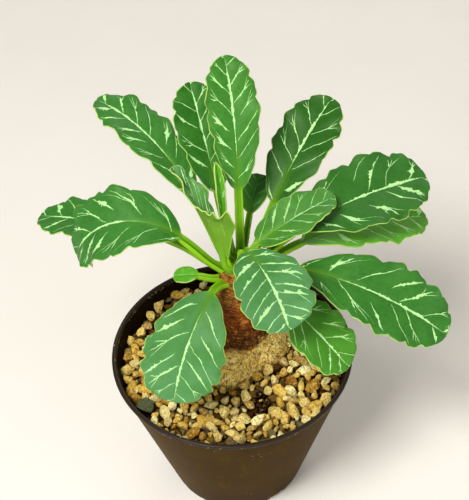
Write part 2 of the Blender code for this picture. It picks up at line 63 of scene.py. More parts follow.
MM = 0.001
POT_RIM_R = 45.0
POT_UNDER_LIP_R = 44.2
POT_FOOT_R = 27.0
POT_HEIGHT = 66.0
POT_WALL = 0.9
LIP_HEIGHT = 1.7
FLOOR_UNDER = 2.4
FLOOR_THICK = 1.3
FOOT_RING_WIDE = 2.0
PAD_R = 6.0
POT_SIDES = 144
DRAIN_R = 2.6
DRAIN_PITCH_R = 17.0
DRAIN_COUNT = 6
DRAIN_SPAN = (1.0, 5.5)
DRAIN_SIDES = 32
FOOT_SLOT_WIDE = 7.0
FOOT_SLOT_HIGH = 2.0
FOOT_SLOT_TURNS = (-57, 33, 123, 213)


def paint(red, green, blue):
    """The light that a colour stands for, given as it is seen on a screen, 0 to 255."""
    light = []
    for value in (red, green, blue):
        share = value / 255
        light.append(share / 12.92 if share <= 0.04045 else ((share + 0.055) / 1.055) ** 2.4)
    return (*light, 1.0)


def maths_method(operation, swapped=False):
    """A method of Amount that adds one maths node."""

    def work_out(self, *others):
        values = (*others, self) if swapped else (self, *others)
        return self.nodes.node("ShaderNodeMath", {"operation": operation}, dict(enumerate(values)))

    return work_out


class Amount:
    """A number that changes over a surface; each operator adds the node that works it out."""

    def __init__(self, nodes, socket):
        self.nodes = nodes
        self.socket = socket

    __add__ = __radd__ = maths_method("ADD")
    __mul__ = __rmul__ = maths_method("MULTIPLY")
    __sub__ = maths_method("SUBTRACT")
    __rsub__ = maths_method("SUBTRACT", swapped=True)
    __truediv__ = maths_method("DIVIDE")
    __gt__ = maths_method("GREATER_THAN")
    __abs__ = maths_method("ABSOLUTE")
    at_least = maths_method("MAXIMUM")
    whole = maths_method("ROUND")

    def held(self):
        """The same number, kept from 0 to 1."""
        settings = {"operation": "ADD", "use_clamp": True}
        return self.nodes.node("ShaderNodeMath", settings, {0: self, 1: 0.0})


class Nodes:
    """A node tree that grows node by node."""

    def node(self, kind, settings, values, out=0):
        """A node of any kind: its settings first, then the values or links of its sockets."""
        made = self.tree.nodes.new(kind)
        for name, value in settings.items():
            setattr(made, name, value)
        for key, value in values.items():
            self.feed(made.inputs[key], value)
        return Amount(self, made.outputs[out])

    def feed(self, socket, value):
        if isinstance(value, Amount):
            self.tree.links.new(value.socket, socket)
        else:
            socket.default_value = value


class Finish(Nodes):
    """One material. Constant numbers are set on the shader's own sockets."""

    def __init__(self, name, **constants):
        self.material = bpy.data.materials.new(name)
        self.material.use_nodes = True
        self.tree = self.material.node_tree
        self.shader = self.tree.nodes["Principled BSDF"]
        self.set(**constants)
        metres = self.node("ShaderNodeTexCoord", {}, {}, "Object")
        # Where a point of the piece is, in millimetres.
        self.where = self.scaled(metres, (1 / MM, 1 / MM, 1 / MM))

    def set(self, **sockets):
        """Sets or feeds the shader's sockets by their names."""
        for name, value in sockets.items():
            self.feed(self.shader.inputs[name.replace("_", " ")], value)

    def scaled(self, where, scale):
        values = {0: where, 1: scale}
        return self.node("ShaderNodeVectorMath", {"operation": "MULTIPLY"}, values)

    def from_axis(self):
        """How far a point is from the pot's axis, in millimetres."""
        flat = self.scaled(self.where, (1.0, 1.0, 0.0))
        return self.node("ShaderNodeVectorMath", {"operation": "LENGTH"}, {0: flat}, "Value")

    def height(self):
        return self.node("ShaderNodeSeparateXYZ", {}, {0: self.where}, "Z")

    def pattern(self, kind, settings, size, scale, **values):
        """A texture with parts of about the given size in millimetres, finer where scaled."""
        where = self.scaled(self.where, scale) if scale else self.where
        return self.node(kind, settings, {"Vector": where, "Scale": 1 / size, **values})

    def noise(self, size, detail=2.0, rough=0.5, scale=None):
        """Cloudy noise from 0 to 1."""
        values = {"Detail": detail, "Roughness": rough}
        return self.pattern("ShaderNodeTexNoise", {}, size, scale, **values)

    def cells(self, size, feature="F1", scale=None):
        """How far a point is from the middle, or the edge, of its cell."""
        return self.pattern("ShaderNodeTexVoronoi", {"feature": feature}, size, scale)

    def step(self, value, low, high):
        """0 on the low value's side and 1 on the high one's, smooth between."""
        settings = {"interpolation_type": "SMOOTHSTEP"}
        values = {"Value": value, "From Min": min(low, high), "From Max": max(low, high)}
        if low > high:
            values |= {"To Min": 1.0, "To Max": 0.0}
        return self.node("ShaderNodeMapRange", settings, values)

    def mix(self, share, first, second, way="MIX"):
        """Two colours mixed by a share; a plain one is given as for paint."""
        first, second = (paint(*c) if isinstance(c, tuple) else c for c in (first, second))
        settings = {"data_type": "RGBA", "blend_type": way}
        return self.node("ShaderNodeMix", settings, {0: share, 6: first, 7: second}, 2)

    def stored(self, name):
        """A number kept on the piece's own points."""
        return self.node("ShaderNodeAttribute", {"attribute_name": name}, {}, "Fac")

    def skin(self, colour, rough, relief=0.0, deep=0.0):
        """Feeds colour, roughness and a relief of the given depth in millimetres."""
        self.set(Base_Color=colour, Roughness=rough)
        if deep:
            values = {"Height": relief, "Distance": deep * MM, "Strength": 1.0}
            self.set(Normal=self.node("ShaderNodeBump", {}, values))
        return self.material


def pot_finish():
    f = Finish(
        "pot_plastic",
        Specular_IOR_Level=0.012,
        Specular_Tint=(1.0, 0.7, 0.3, 1.0),
        Coat_Roughness=0.32,
        Coat_Tint=(1.0, 0.94, 0.8, 1.0),
        Sheen_Weight=0.035,
        Sheen_Roughness=0.3,
        Sheen_Tint=(1.0, 0.72, 0.3, 1.0),
    )
    height = f.height()
    cloud = f.noise(14.0, 3.0)
    film = f.noise(4.0, 4.0, 0.6, (1.0, 1.0, 0.25))
    rubbed = f.noise(1.0, 3.0, 0.6, (0.14, 0.14, 1.6))
    lip = f.step(height, 64.1, 64.7)
    plastic = f.mix(cloud, (50, 33, 5), (67, 47, 11))
    # Painted shade: the wall darkens towards the bottom.
    plastic = f.mix(f.step(height, 22.0, 2.0) * 0.55, plastic, (38, 27, 8))
    dusty = f.step(film, 0.50, 0.78) * 0.26 + f.step(rubbed, 0.56, 0.74) * 0.24
    plastic = f.mix(dusty, plastic, (112, 90, 40))
    plastic = f.mix(lip * 0.8, plastic, (34, 29, 26))
    # Painted shadow: a dark band just under the rolled lip.
    painted_lip_shadow = f.step(abs(height - 63.9), 0.7, 0.1)
    plastic = f.mix(painted_lip_shadow * 0.5, plastic, (22, 16, 8))
    foot = f.step(height, 5.0, 0.0) * f.step(cloud, 0.3, 0.7) * 0.4
    plastic = f.mix(foot, plastic, (100, 80, 46))
    slope = (POT_UNDER_LIP_R - POT_FOOT_R) / (POT_HEIGHT - LIP_HEIGHT)
    # Painted shade: every face inward of the outer wall, where shade falls, is made nearly black.
    within = f.from_axis() - height * slope
    painted_inner_shade = f.step(within, POT_FOOT_R - 0.35, POT_FOOT_R - 0.55) * (1 - lip)
    plastic = f.mix(painted_inner_shade * 0.85, plastic, (14, 9, 2))
    speck = f.step(f.cells(2.4), 0.12, 0.06) * f.step(f.noise(9.0), 0.5, 0.62)
    chips = f.step(f.cells(0.8), 0.40, 0.22) * f.step(f.noise(4.0, 2.0), 0.5, 0.6)
    chips = chips * f.step(abs(height - 64.6), 0.8, 0.3)
    speck = speck.at_least(chips)
    plastic = f.mix(speck * 0.85, plastic, (190, 182, 160))
    grain = f.noise(0.35, 2.0)
    drawn = f.noise(1.0, 2.0, scale=(0.12, 0.12, 2.2))
    rough = 0.42 + dusty * 0.5 + speck * 0.3 + film * 0.12
    relief = grain * 0.35 + drawn * 0.4 + speck * 0.6
    f.set(Coat_Weight=lip * 0.34 * (1 - dusty))
    return f.skin(plastic, rough, relief, 0.05)


def rounded_path(corners, steps=5):
    """A path of radius and height whose corners are rounded by their third number."""
    path = []
    last = len(corners) - 1
    for k, (r, z, bend) in enumerate(corners):
        here = Vector((r, z))
        if bend == 0 or k in (0, last):
            path.append(here)
            continue
        before = Vector(corners[k - 1][:2]) - here
        after = Vector(corners[k + 1][:2]) - here
        start = here + before.normalized() * min(bend, before.length * 0.49)
        end = here + after.normalized() * min(bend, after.length * 0.49)
        for n in range(steps + 1):
            t = n / steps
            path.append(start * (1 - t) ** 2 + here * 2 * t * (1 - t) + end * t**2)
    return path


def ring_faces(rings, sides, joined=False):
    """Faces between level rings of points; joined also goes from the last to the first."""
    faces = []
    for row in range(rings if joined else rings - 1):
        low = row * sides
        high = (row + 1) % rings * sides
        for k in range(sides):
            n = (k + 1) % sides
            faces.append((low + k, low + n, high + n, high + k))
    return faces


def around(radius, a):
    """The place at a distance from an axis, in a direction in radians."""
    return radius * math.cos(a), radius * math.sin(a)


def lathe(path, sides):
    """Points and faces of a path turned round the upright axis and closed at both ends."""
    turns = [2 * math.pi * k / sides for k in range(sides)]
    points = [(*around(r, a), z) for r, z in path for a in turns]
    faces = ring_faces(len(path), sides)
    last = (len(path) - 1) * sides
    faces.append(tuple(reversed(range(sides))))
    faces.append(tuple(range(last, last + sides)))
    return points, faces


def millimetre_mesh(name, points, faces):
    """A mesh from points in millimetres, smooth, with its faces turned outwards."""
    mesh = bpy.data.meshes.new(name)
    mesh.from_pydata([Vector(p) * MM for p in points], [], faces)
    shape = bmesh.new()
    shape.from_mesh(mesh)
    bmesh.ops.recalc_face_normals(shape, faces=shape.faces)
    shape.to_mesh(mesh)
    shape.free()
    mesh.shade_smooth()
    return mesh


def new_piece(name, data, material=None):
    """An object in the scene, dressed where a material is given."""
    piece = bpy.data.objects.new(name, data)
    bpy.context.scene.collection.objects.link(piece)
    if material is not None:
        data.materials.clear()
        data.materials.append(material)
    return piece


def settle_modifiers(piece):
    """Swaps a piece's mesh for the one its modifiers make, and takes the modifiers off."""
    seen = piece.evaluated_get(bpy.context.evaluated_depsgraph_get())
    mesh = bpy.data.meshes.new_from_object(seen)
    piece.modifiers.clear()
    piece.data = mesh
    return piece


def helper_objects(name, meshes):
    """A collection of objects that only help to make a piece and stay out of the scene."""
    helpers = bpy.data.collections.new(name)
    for k, mesh in enumerate(meshes):
        helpers.objects.link(bpy.data.objects.new(f"{name}_{k:02d}", mesh))
    return helpers


def drop(helpers):
    for helper in list(helpers.objects):
        bpy.data.objects.remove(helper)
    bpy.data.collections.remove(helpers)


def declare(piece, slot, *nodes):
    """The piece stands on the ground with everything else and takes the place of its nodes."""
    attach(piece, "root")
    if nodes:
        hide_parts(*nodes)


def drain_cutter(turn):
    x, y = around(DRAIN_PITCH_R, turn)
    points, faces = lathe([(DRAIN_R, z) for z in DRAIN_SPAN], DRAIN_SIDES)
    return [(px + x, py + y, z) for px, py, z in points], faces


def foot_slot_cutter(turn):
    out = Vector((*around(1.0, turn), 0.0))
    side = Vector((-out.y, out.x, 0.0)) * FOOT_SLOT_WIDE / 2
    inner = POT_FOOT_R - FOOT_RING_WIDE - 2.0
    outer = POT_FOOT_R + 3.0
    points = []
    for z in (-1.0, FOOT_SLOT_HIGH):
        for reach, sign in ((inner, -1), (outer, -1), (outer, 1), (inner, 1)):
            points.append(tuple(out * reach + side * sign + Vector((0, 0, z))))
    faces = [(3, 2, 1, 0), (4, 5, 6, 7)]
    faces += [(k, (k + 1) % 4, 4 + (k + 1) % 4, 4 + k) for k in range(4)]
    return points, faces


def pot_corners():
    """Radius, height and rounding round the shell, from the middle pad to the floor's top."""
    neck = POT_HEIGHT - LIP_HEIGHT
    bore = POT_UNDER_LIP_R - POT_WALL
    floor_top = FLOOR_UNDER + FLOOR_THICK
    wall_in = POT_FOOT_R + (POT_UNDER_LIP_R - POT_FOOT_R) * floor_top / neck - POT_WALL
    return [
        (0.4, 0.0, 0), (PAD_R, 0.0, 0.4), (PAD_R + 0.8, FLOOR_UNDER, 0.5),
        (POT_FOOT_R - FOOT_RING_WIDE, FLOOR_UNDER, 0.5), (POT_FOOT_R - FOOT_RING_WIDE, 0.0, 0.4),
        (POT_FOOT_R, 0.0, 0.6), (POT_UNDER_LIP_R - 0.35, neck - 1.3, 0.5),
        (POT_UNDER_LIP_R, neck, 0.25), (POT_RIM_R, neck + 0.25, 0.5), (POT_RIM_R, POT_HEIGHT, 0.7),
        (bore + 0.1, POT_HEIGHT, 0.7), (bore, neck, 0.8), (wall_in, floor_top, 0.8),
        (0.4, floor_top, 0),
    ]


points, faces = lathe(rounded_path(pot_corners()), POT_SIDES)
pot_shell = new_piece("pot_shell", millimetre_mesh("pot_shell", points, faces), pot_finish())
holes = [drain_cutter(math.pi * (2 * k + 1) / DRAIN_COUNT) for k in range(DRAIN_COUNT)]
holes += [foot_slot_cutter(math.radians(turn)) for turn in FOOT_SLOT_TURNS]
cutters = helper_objects("pot_cutter", [millimetre_mesh("pot_cutter", *hole) for hole in holes])
openings = pot_shell.modifiers.new("openings", "BOOLEAN")
openings.operation = "DIFFERENCE"
openings.operand_type = "COLLECTION"
openings.collection = cutters
openings.solver = "EXACT"
settle_modifiers(pot_shell)
drop(cutters)
pot_shell.data.set_sharp_from_angle(angle=math.radians(40))
declare(pot_shell, "pot", "pot")

# Soil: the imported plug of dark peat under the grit. Only the drain holes show it, so the
# plain solid stays and gets the look of damp peat with light perlite crumbs.


def soil_finish():
    f = Finish("peat", Specular_IOR_Level=0.25)
    lumps = f.noise(2.2, 5.0, 0.65)
    peat = f.mix(lumps, (28, 19, 12), (78, 54, 34))
    crumb = f.step(f.cells(3.4), 0.2, 0.12)
    peat = f.mix(crumb, peat, (208, 200, 184))
    return f.skin(peat, 0.86 + lumps * 0.12, lumps + crumb * 0.5, 0.8)


soil = frame["nodes"]["soil"]
soil.data.materials.clear()
soil.data.materials.append(soil_finish())

# Caudex: the plant's swollen stem, one grown body from the root to the dome that carries
# the leaves. Corky bark, dark and wrinkled on the neck, ends in a ragged edge over the
# younger, paler and grainy swelling at the bottom. Fallen leaves left oval scars.

CAUDEX_X = 4.1
CAUDEX_Y = 1.2
CAUDEX_SIDES = 176
CAUDEX_OUTLINE = (
    (34.0, 5.0), (35.5, 8.0), (39.0, 10.6), (45.0, 12.6), (52.0, 14.4), (58.0, 15.6),
    (62.0, 15.9), (66.0, 15.4), (69.5, 14.0), (72.5, 12.2), (75.5, 10.7), (80.0, 9.8),
    (88.0, 9.3), (95.0, 9.0), (99.0, 8.4), (102.0, 7.6),
)
CROWN_Z = 102.0
CROWN_R = 7.6
BARK_EDGE_Z = 74.6
BARK_THICK = 0.3
SCARS = ((-84, 88.6), (-150, 93.0), (-20, 84.0), (60, 90.0), (120, 85.0), (170, 82.0), (12, 95.5))


def angle_off(turn, centre):
    """How far one direction is from another, from -180 to 180 degrees."""
    return (turn - centre + 180) % 360 - 180


def bump_round(turn, centre, wide):
    """A smooth hump round one direction, angles in degrees."""
    return math.exp(-((angle_off(turn, centre) / wide) ** 2))


def portion(value, low, high):
    """0 up to low, 1 from high on, straight between."""
    return max(0.0, min(1.0, (value - low) / (high - low)))


def ease(value, low, high):
    """0 up to low, 1 from high on, smooth between."""
    t = portion(value, low, high)
    return t * t * (3 - 2 * t)


def caudex_r(turn, z):
    """Radius with the swellings of the base and the slight waist of the stem."""
    heights = [row[0] for row in CAUDEX_OUTLINE]
    radii = [row[1] for row in CAUDEX_OUTLINE]
    base = portion(z, 44, 58) * portion(z, 76, 68)
    swell = 3.8 * bump_round(turn, -128, 28) + 1.2 * bump_round(turn, 10, 30)
    swell += 0.8 * bump_round(turn, 95, 40)
    dent = 4.6 * bump_round(turn, -55, 34) + 0.9 * bump_round(turn, 160, 30)
    stem = portion(z, 70, 78) * portion(z, 100, 94)
    lean = 0.7 * bump_round(turn, 185, 50) - 0.5 * bump_round(turn, 40, 40)
    return float(np.interp(z, heights, radii)) + base * (swell - dent) + stem * lean


def bark_edge(turn):
    """Height of the ragged lower edge of the old bark."""
    spot = Vector((*around(1.0, math.radians(turn)), 0.0))
    ragged = 1.2 * noise.noise(spot * 2.1) + 0.8 * noise.noise(spot * 7.0)
    return BARK_EDGE_Z + ragged + 3.0 * bump_round(turn, -35, 38)


def scar_depth(turn, z, radius):
    """How deep in a leaf scar a point lies, and how much of its raised rim it has."""
    deep = 0.0
    rim = 0.0
    for centre, level in SCARS:
        off = angle_off(turn, centre) * math.pi / 180 * radius
        away = math.hypot(off / 1.7, (z - level) / 1.15)
        deep = max(deep, 1 - ease(away, 0.55, 1.0))
        rim = max(rim, math.exp(-(((away - 1.15) / 0.25) ** 2)))
    return deep, rim


def caudex_relief(turn, z):
    """Relief of the skin above the plain outline, and the share of scar."""
    spot = Vector((*around(9, math.radians(turn)), z))
    bark = ease(z - bark_edge(turn), -1.4, 1.0)
    neck = bark * (1 - ease(z, 100, 104))
    warp = 1.3 * noise.noise(spot * 0.22) + 0.5 * noise.noise(spot * 0.7)
    rings = math.sin((z + warp) * 2 * math.pi / 1.55) * (0.5 + noise.noise(spot * 0.35))
    rings += 0.6 * math.sin((z - 2 * warp) * 2 * math.pi / 3.1)
    crack = -abs(noise.noise(spot * 0.8 + Vector((5, 1, 0)))) * 0.5
    grain = noise.noise(spot * 1.5) + 0.6 * noise.noise(spot * 3.1)
    lumps = noise.noise(spot * 0.28)
    crust = max(0.0, 0.16 - abs(noise.noise(spot * 0.75 + Vector((0, 7, 3))))) / 0.16
    deep, rim = scar_depth(turn, z, 9.3)
    plain = bark * BARK_THICK * (1 - ease(z, 80, 90)) + 0.16 * rings * neck + crack * neck * 0.5
    plain = plain * (1 - deep) - 0.32 * deep * bark + 0.2 * rim * bark
    loose = (1 - bark) * (0.2 * grain + 0.65 * lumps - 0.5 * crust)
    return plain + loose, deep * bark


def caudex_levels():
    levels = list(np.linspace(35.5, 52.0, 10)) + list(np.linspace(53.0, 72.0, 46))
    levels += list(np.linspace(72.3, 78.0, 24)) + list(np.linspace(78.35, CROWN_Z, 76))
    for rise in range(6, 90, 6):
        levels.append(CROWN_Z + CROWN_R * math.sin(math.radians(rise)))
    return levels


def caudex_mesh():
    levels = caudex_levels()
    points, barks, scars = [], [], []
    for z in levels:
        for k in range(CAUDEX_SIDES):
            turn = 360 * k / CAUDEX_SIDES
            relief, scar = caudex_relief(turn, z)
            bark = ease(z - bark_edge(turn), -3.5, 3.5)
            if z > CROWN_Z:
                radius = math.sqrt(CROWN_R**2 - (z - CROWN_Z) ** 2)
                relief *= 0.5 * radius / CROWN_R
            else:
                radius = caudex_r(turn, z)
            radius += relief * ease(z, 50, 58)
            x, y = around(radius, math.radians(turn))
            points.append((CAUDEX_X + x, CAUDEX_Y + y, z))
            barks.append(bark)
            scars.append(scar)
    faces = ring_faces(len(levels), CAUDEX_SIDES)
    last = (len(levels) - 1) * CAUDEX_SIDES
    low = len(points)
    points.append((CAUDEX_X, CAUDEX_Y, 33.4))
    points.append((CAUDEX_X, CAUDEX_Y, CROWN_Z + CROWN_R))
    for k in range(CAUDEX_SIDES):
        n = (k + 1) % CAUDEX_SIDES
        faces.append((n, k, low))
        faces.append((last + k, last + n, low + 1))
    mesh = millimetre_mesh("caudex_body", points, faces)
    store(mesh, "bark", barks + [0.0, 1.0])
    store(mesh, "scar", scars + [0.0, 0.0])
    return mesh


def store(mesh, name, numbers):
    """Keeps a number on every point of a mesh."""
    mesh.attributes.new(name, "FLOAT", "POINT").data.foreach_set("value", numbers)


def caudex_finish():
    f = Finish("bark", Specular_IOR_Level=0.16)
    height = f.height()
    bark = f.stored("bark")
    scar = f.stored("scar")
    drift = f.noise(4.0, 3.0)
    level = height + (drift - 0.5) * 10.0
    streaks = f.noise(1.7, 5.0, 0.7, (0.7, 0.7, 1.7))
    grain = f.noise(0.6, 4.0, 0.7)
    patch = f.noise(2.6, 4.0, 0.6)
    old = f.mix(f.step(level, 80.0, 87.0), (98, 56, 12), (136, 66, 12))
    old = f.mix(f.step(level, 92.0, 99.0), old, (142, 94, 30))
    old = f.mix(f.step(streaks, 0.55, 0.64) * 0.75, old, (202, 126, 36))
    old = f.mix(f.step(streaks, 0.50, 0.41) * 0.8, old, (66, 34, 9))
    old = f.mix(f.step(grain, 0.56, 0.66) * 0.5, old, (208, 156, 72))
    old = f.mix(f.step(grain, 0.45, 0.36) * 0.6, old, (60, 32, 10))
    wrinkles = f.noise(1.3, 4.0, 0.7, (0.4, 0.4, 1.7))
    old = f.mix(f.step(wrinkles, 0.50, 0.41) * 0.85, old, (60, 27, 5))
    flakes = f.step(f.noise(2.2, 3.0, 0.6), 0.60, 0.66) * f.step(level, 94.0, 86.0)
    old = f.mix(flakes * 0.6, old, (206, 130, 36))
    splits = f.cells(2.4, "DISTANCE_TO_EDGE", (1.0, 1.0, 0.55))
    splits = f.step(splits + (grain - 0.5) * 0.2, 0.09, 0.02) * f.step(level, 88.0, 80.0)
    old = f.mix(splits * 0.7, old, (40, 20, 6))
    bud = f.mix(streaks, (70, 104, 14), (118, 164, 28))
    old = f.mix(f.step(height + (drift - 0.5) * 4.0, 106.6, 108.6), old, bud)
    fresh = f.mix(f.step(patch, 0.32, 0.68), (240, 197, 95), (255, 229, 137))
    net = f.noise(1.7, 4.0, 0.65, (1.0, 1.0, 0.55))
    cracks = f.step(abs(net - 0.5), 0.032, 0.01) * f.step(patch, 0.66, 0.54)
    fresh = f.mix(cracks * 0.8, fresh, (96, 54, 12))
    pits = f.step(f.noise(0.9, 4.0, 0.75), 0.43, 0.35)
    fresh = f.mix(pits * 0.3, fresh, (120, 74, 26))
    stain = f.step(f.noise(3.4, 3.0), 0.56, 0.68) * 0.16
    fresh = f.mix(stain.at_least(f.step(bark, 0.04, 0.5) * 0.55), fresh, (150, 90, 32))
    # Darker towards the bottom, near the grit.
    darker_near_grit = f.step(height + (drift - 0.5) * 6.0, 64.0, 60.0) * 0.15
    fresh = f.mix(darker_near_grit, fresh, (140, 102, 46))
    torn = (streaks - 0.5) * 1.3 + (patch - 0.5) * 1.2
    bark = f.step(bark + torn, 0.2, 0.74)
    colour = f.mix(bark, fresh, old)
    colour = f.mix(scar * 0.8, colour, (198, 122, 52))
    relief = (streaks + wrinkles * 0.8 - splits * 0.6) * bark + grain * 0.45
    relief = relief - (pits * 0.7 + cracks * 0.5) * (1 - bark)
    return f.skin(colour, 0.78 + grain * 0.2, relief, 0.35)


caudex_body = new_piece("caudex_body", caudex_mesh(), caudex_finish())
declare(caudex_body, "bark", "caudex")

# Grit: washed pumice and baked clay grains of 2 to 6 mm, poured over the soil up to the
# caudex, with smaller crumbs between them and a few dark bark bits. They lie loose, so
# their places come from letting round stand-ins settle and push each other apart.

GRIT_BOTTOM = 52.0
GRIT_LEVEL = 59.6
GRIT_MOUND = 2.2
MOUND_FROM = 15.0
MOUND_WIDE = 9.0
BED_TOP_DROP = 3.6
GRIT_PROUD = 2.2
GRAIN_COUNT = 860
GRAIN_LEAST = 1.2
GRAIN_SPREAD = 1.6
GRAIN_SKEW = 1.3
CRUMB_COUNT = 420
CRUMB_SIZES = (0.5, 1.0)
CRUMB_HEIGHTS = (61.0, 64.0)
POUR_RING = (14.0, 40.5)
POUR_HEIGHTS = (56.5, 63.5)
GRAIN_TOP = 0.6
GRAINS_CLOSE = 0.93
WALL_CLOSE = 0.92
ROOT_CLOSE = 0.7
GRAIN_SHAPES = 12
GRAIN_CORNERS = 30
GRAIN_FLATS = 10
SETTLE_STEPS = 70
SETTLE_FALL = 0.10
SETTLE_PUSH = 0.32
GREY_STONE_AT = (-30.6, -21.0)
GREY_STONE_Z = 60.4
GREY_STONE_SIZE = 3.9
GREY_STONE_PROUD = 0.9
GREY_STONE_SHAPE = 3
LITTER_SPOT = (8.0, -23.0)
LITTER_R = 4.6
LITTER_BROAD = 0.8
LITTER_SHARE = 0.5
LITTER_SIZE = 0.7
NEIGHBOUR = 4.5
ROOT_Z = 61.0
BED_SIDES = 96
GOLDEN_ANGLE = 2.39996
TONES_END = 0.90
GREY_TONE = 0.945
LITTER_TONE = 1.0


def wall_inside_r(z):
    """Inner radius of the pot wall at a height."""
    share = z / (POT_HEIGHT - LIP_HEIGHT)
    return POT_FOOT_R + (POT_UNDER_LIP_R - POT_FOOT_R) * share - POT_WALL


def root_radius(turns):
    """Radius of the caudex at the level of the grit, for many directions at once."""
    known = range(-180, 181, 3)
    return np.interp(np.degrees(turns), known, [caudex_r(turn, ROOT_Z) for turn in known])


def grit_level(away):
    """The bed lies a little higher against the caudex than at the pot wall."""
    return GRIT_LEVEL + GRIT_MOUND * np.exp(-(((away - MOUND_FROM) / MOUND_WIDE) ** 2))


def pour_grains():
    """Places and sizes of all grains after they have settled, in millimetres."""
    rng = np.random.default_rng(23)
    count = GRAIN_COUNT + CRUMB_COUNT
    skewed = rng.uniform(0.0, 1.0, count) ** GRAIN_SKEW
    crumbs = rng.uniform(*CRUMB_SIZES, count)
    sizes = np.where(np.arange(count) < GRAIN_COUNT, GRAIN_LEAST + GRAIN_SPREAD * skewed, crumbs)
    inner, outer = POUR_RING
    away = np.sqrt(rng.uniform(inner**2, outer**2, count))
    turn = rng.uniform(-math.pi, math.pi, count)
    heights = rng.uniform(*POUR_HEIGHTS, count)
    heights[GRAIN_COUNT:] = rng.uniform(*CRUMB_HEIGHTS, CRUMB_COUNT)
    spots = np.stack((away * np.cos(turn), away * np.sin(turn), heights), 1)
    # The first grain is the large grey stone.
    spots[0] = (*GREY_STONE_AT, GREY_STONE_Z)
    sizes[0] = GREY_STONE_SIZE
    reach = (sizes[:, None] + sizes[None, :]) * GRAINS_CLOSE
    np.fill_diagonal(reach, 0.0)
    for _ in range(SETTLE_STEPS):
        spots[:, 2] -= SETTLE_FALL
        gap = spots[:, None, :] - spots[None, :, :]
        far = np.sqrt((gap**2).sum(2)) + 1e-6
        push = np.maximum(0.0, reach - far) / far * SETTLE_PUSH
        spots += (gap * push[:, :, None]).sum(1)
        hold_grains(spots, sizes)
    return spots, sizes


def hold_grains(spots, sizes):
    """Keeps the grains inside the wall, off the caudex and on the bed, in place."""
    flat = spots[:, :2]
    limit = wall_inside_r(spots[:, 2]) - sizes * WALL_CLOSE
    flat *= np.minimum(1.0, limit / np.hypot(*flat.T))[:, None]
    x, y = (flat - (CAUDEX_X, CAUDEX_Y)).T
    away = np.hypot(x, y)
    least = root_radius(np.arctan2(y, x)) + sizes * ROOT_CLOSE
    grow = np.maximum(1.0, least / away)
    flat[:] = np.column_stack((CAUDEX_X + x * grow, CAUDEX_Y + y * grow))
    top = grit_level(away)
    lowest = top - BED_TOP_DROP + sizes * GRAIN_TOP
    spots[:, 2] = np.clip(spots[:, 2], lowest, top + GRIT_PROUD - sizes * GRAIN_TOP)


def grain_mesh(number):
    """One worn, angular grain: the hull of jittered points, about 2 across, flat on a side."""
    rng = random.Random(100 + number)
    shape = bmesh.new()
    cuts = []
    for _ in range(GRAIN_FLATS):
        normal = Vector((rng.gauss(0, 1), rng.gauss(0, 1), rng.gauss(0, 1))).normalized()
        cuts.append((normal, rng.uniform(0.42, 0.74)))
    for k in range(GRAIN_CORNERS):
        z = 1 - 2 * (k + 0.5) / GRAIN_CORNERS
        spot = Vector((*around(math.sqrt(1 - z * z), k * GOLDEN_ANGLE), z))
        spot += Vector((rng.uniform(-0.1, 0.1), rng.uniform(-0.1, 0.1), rng.uniform(-0.1, 0.1)))
        for normal, far in cuts:
            over = spot.dot(normal) - far
            if over > 0:
                spot -= normal * over
        shape.verts.new((spot.x * grain_span(number, 0), spot.y * grain_span(number, 1), spot.z))
    bmesh.ops.convex_hull(shape, input=shape.verts)
    bmesh.ops.delete(shape, geom=[v for v in shape.verts if not v.link_faces], context="VERTS")
    bmesh.ops.recalc_face_normals(shape, faces=shape.faces)
    mesh = bpy.data.meshes.new(f"grain_{number}")
    shape.to_mesh(mesh)
    shape.free()
    mesh.shade_smooth()
    mesh.set_sharp_from_angle(angle=math.radians(20))
    return mesh


def grain_span(number, axis):
    """How long or broad a grain shape is beside its height."""
    return 0.74 + 0.85 * ((number * 7 + axis * 5) % 11) / 10


class Tree(Nodes):
    """A Geometry Nodes tree whose sizes are named inputs."""

    def __init__(self, name, inputs):
        self.tree = bpy.data.node_groups.new(name, "GeometryNodeTree")
        self.ids = {}
        self.socket("Geometry", "NodeSocketGeometry", "INPUT")
        for label, kind in inputs.items():
            self.ids[label] = self.socket(label, kind, "INPUT").identifier
        self.socket("Geometry", "NodeSocketGeometry", "OUTPUT")
        self.start = self.tree.nodes.new("NodeGroupInput")
        self.end = self.tree.nodes.new("NodeGroupOutput")

    def socket(self, label, kind, side):
        return self.tree.interface.new_socket(name=label, in_out=side, socket_type=kind)

    def given(self, label):
        """What the piece hands in under a label."""
        return Amount(self, self.start.outputs[label])

    def finish_on(self, piece, geometry, values):
        """Ends the tree, sets its inputs on the piece and makes the result a plain mesh."""
        self.feed(self.end.inputs[0], geometry)
        modifier = piece.modifiers.new(self.tree.name, "NODES")
        modifier.node_group = self.tree
        for label, value in values.items():
            modifier[self.ids[label]] = value
        return settle_modifiers(piece)


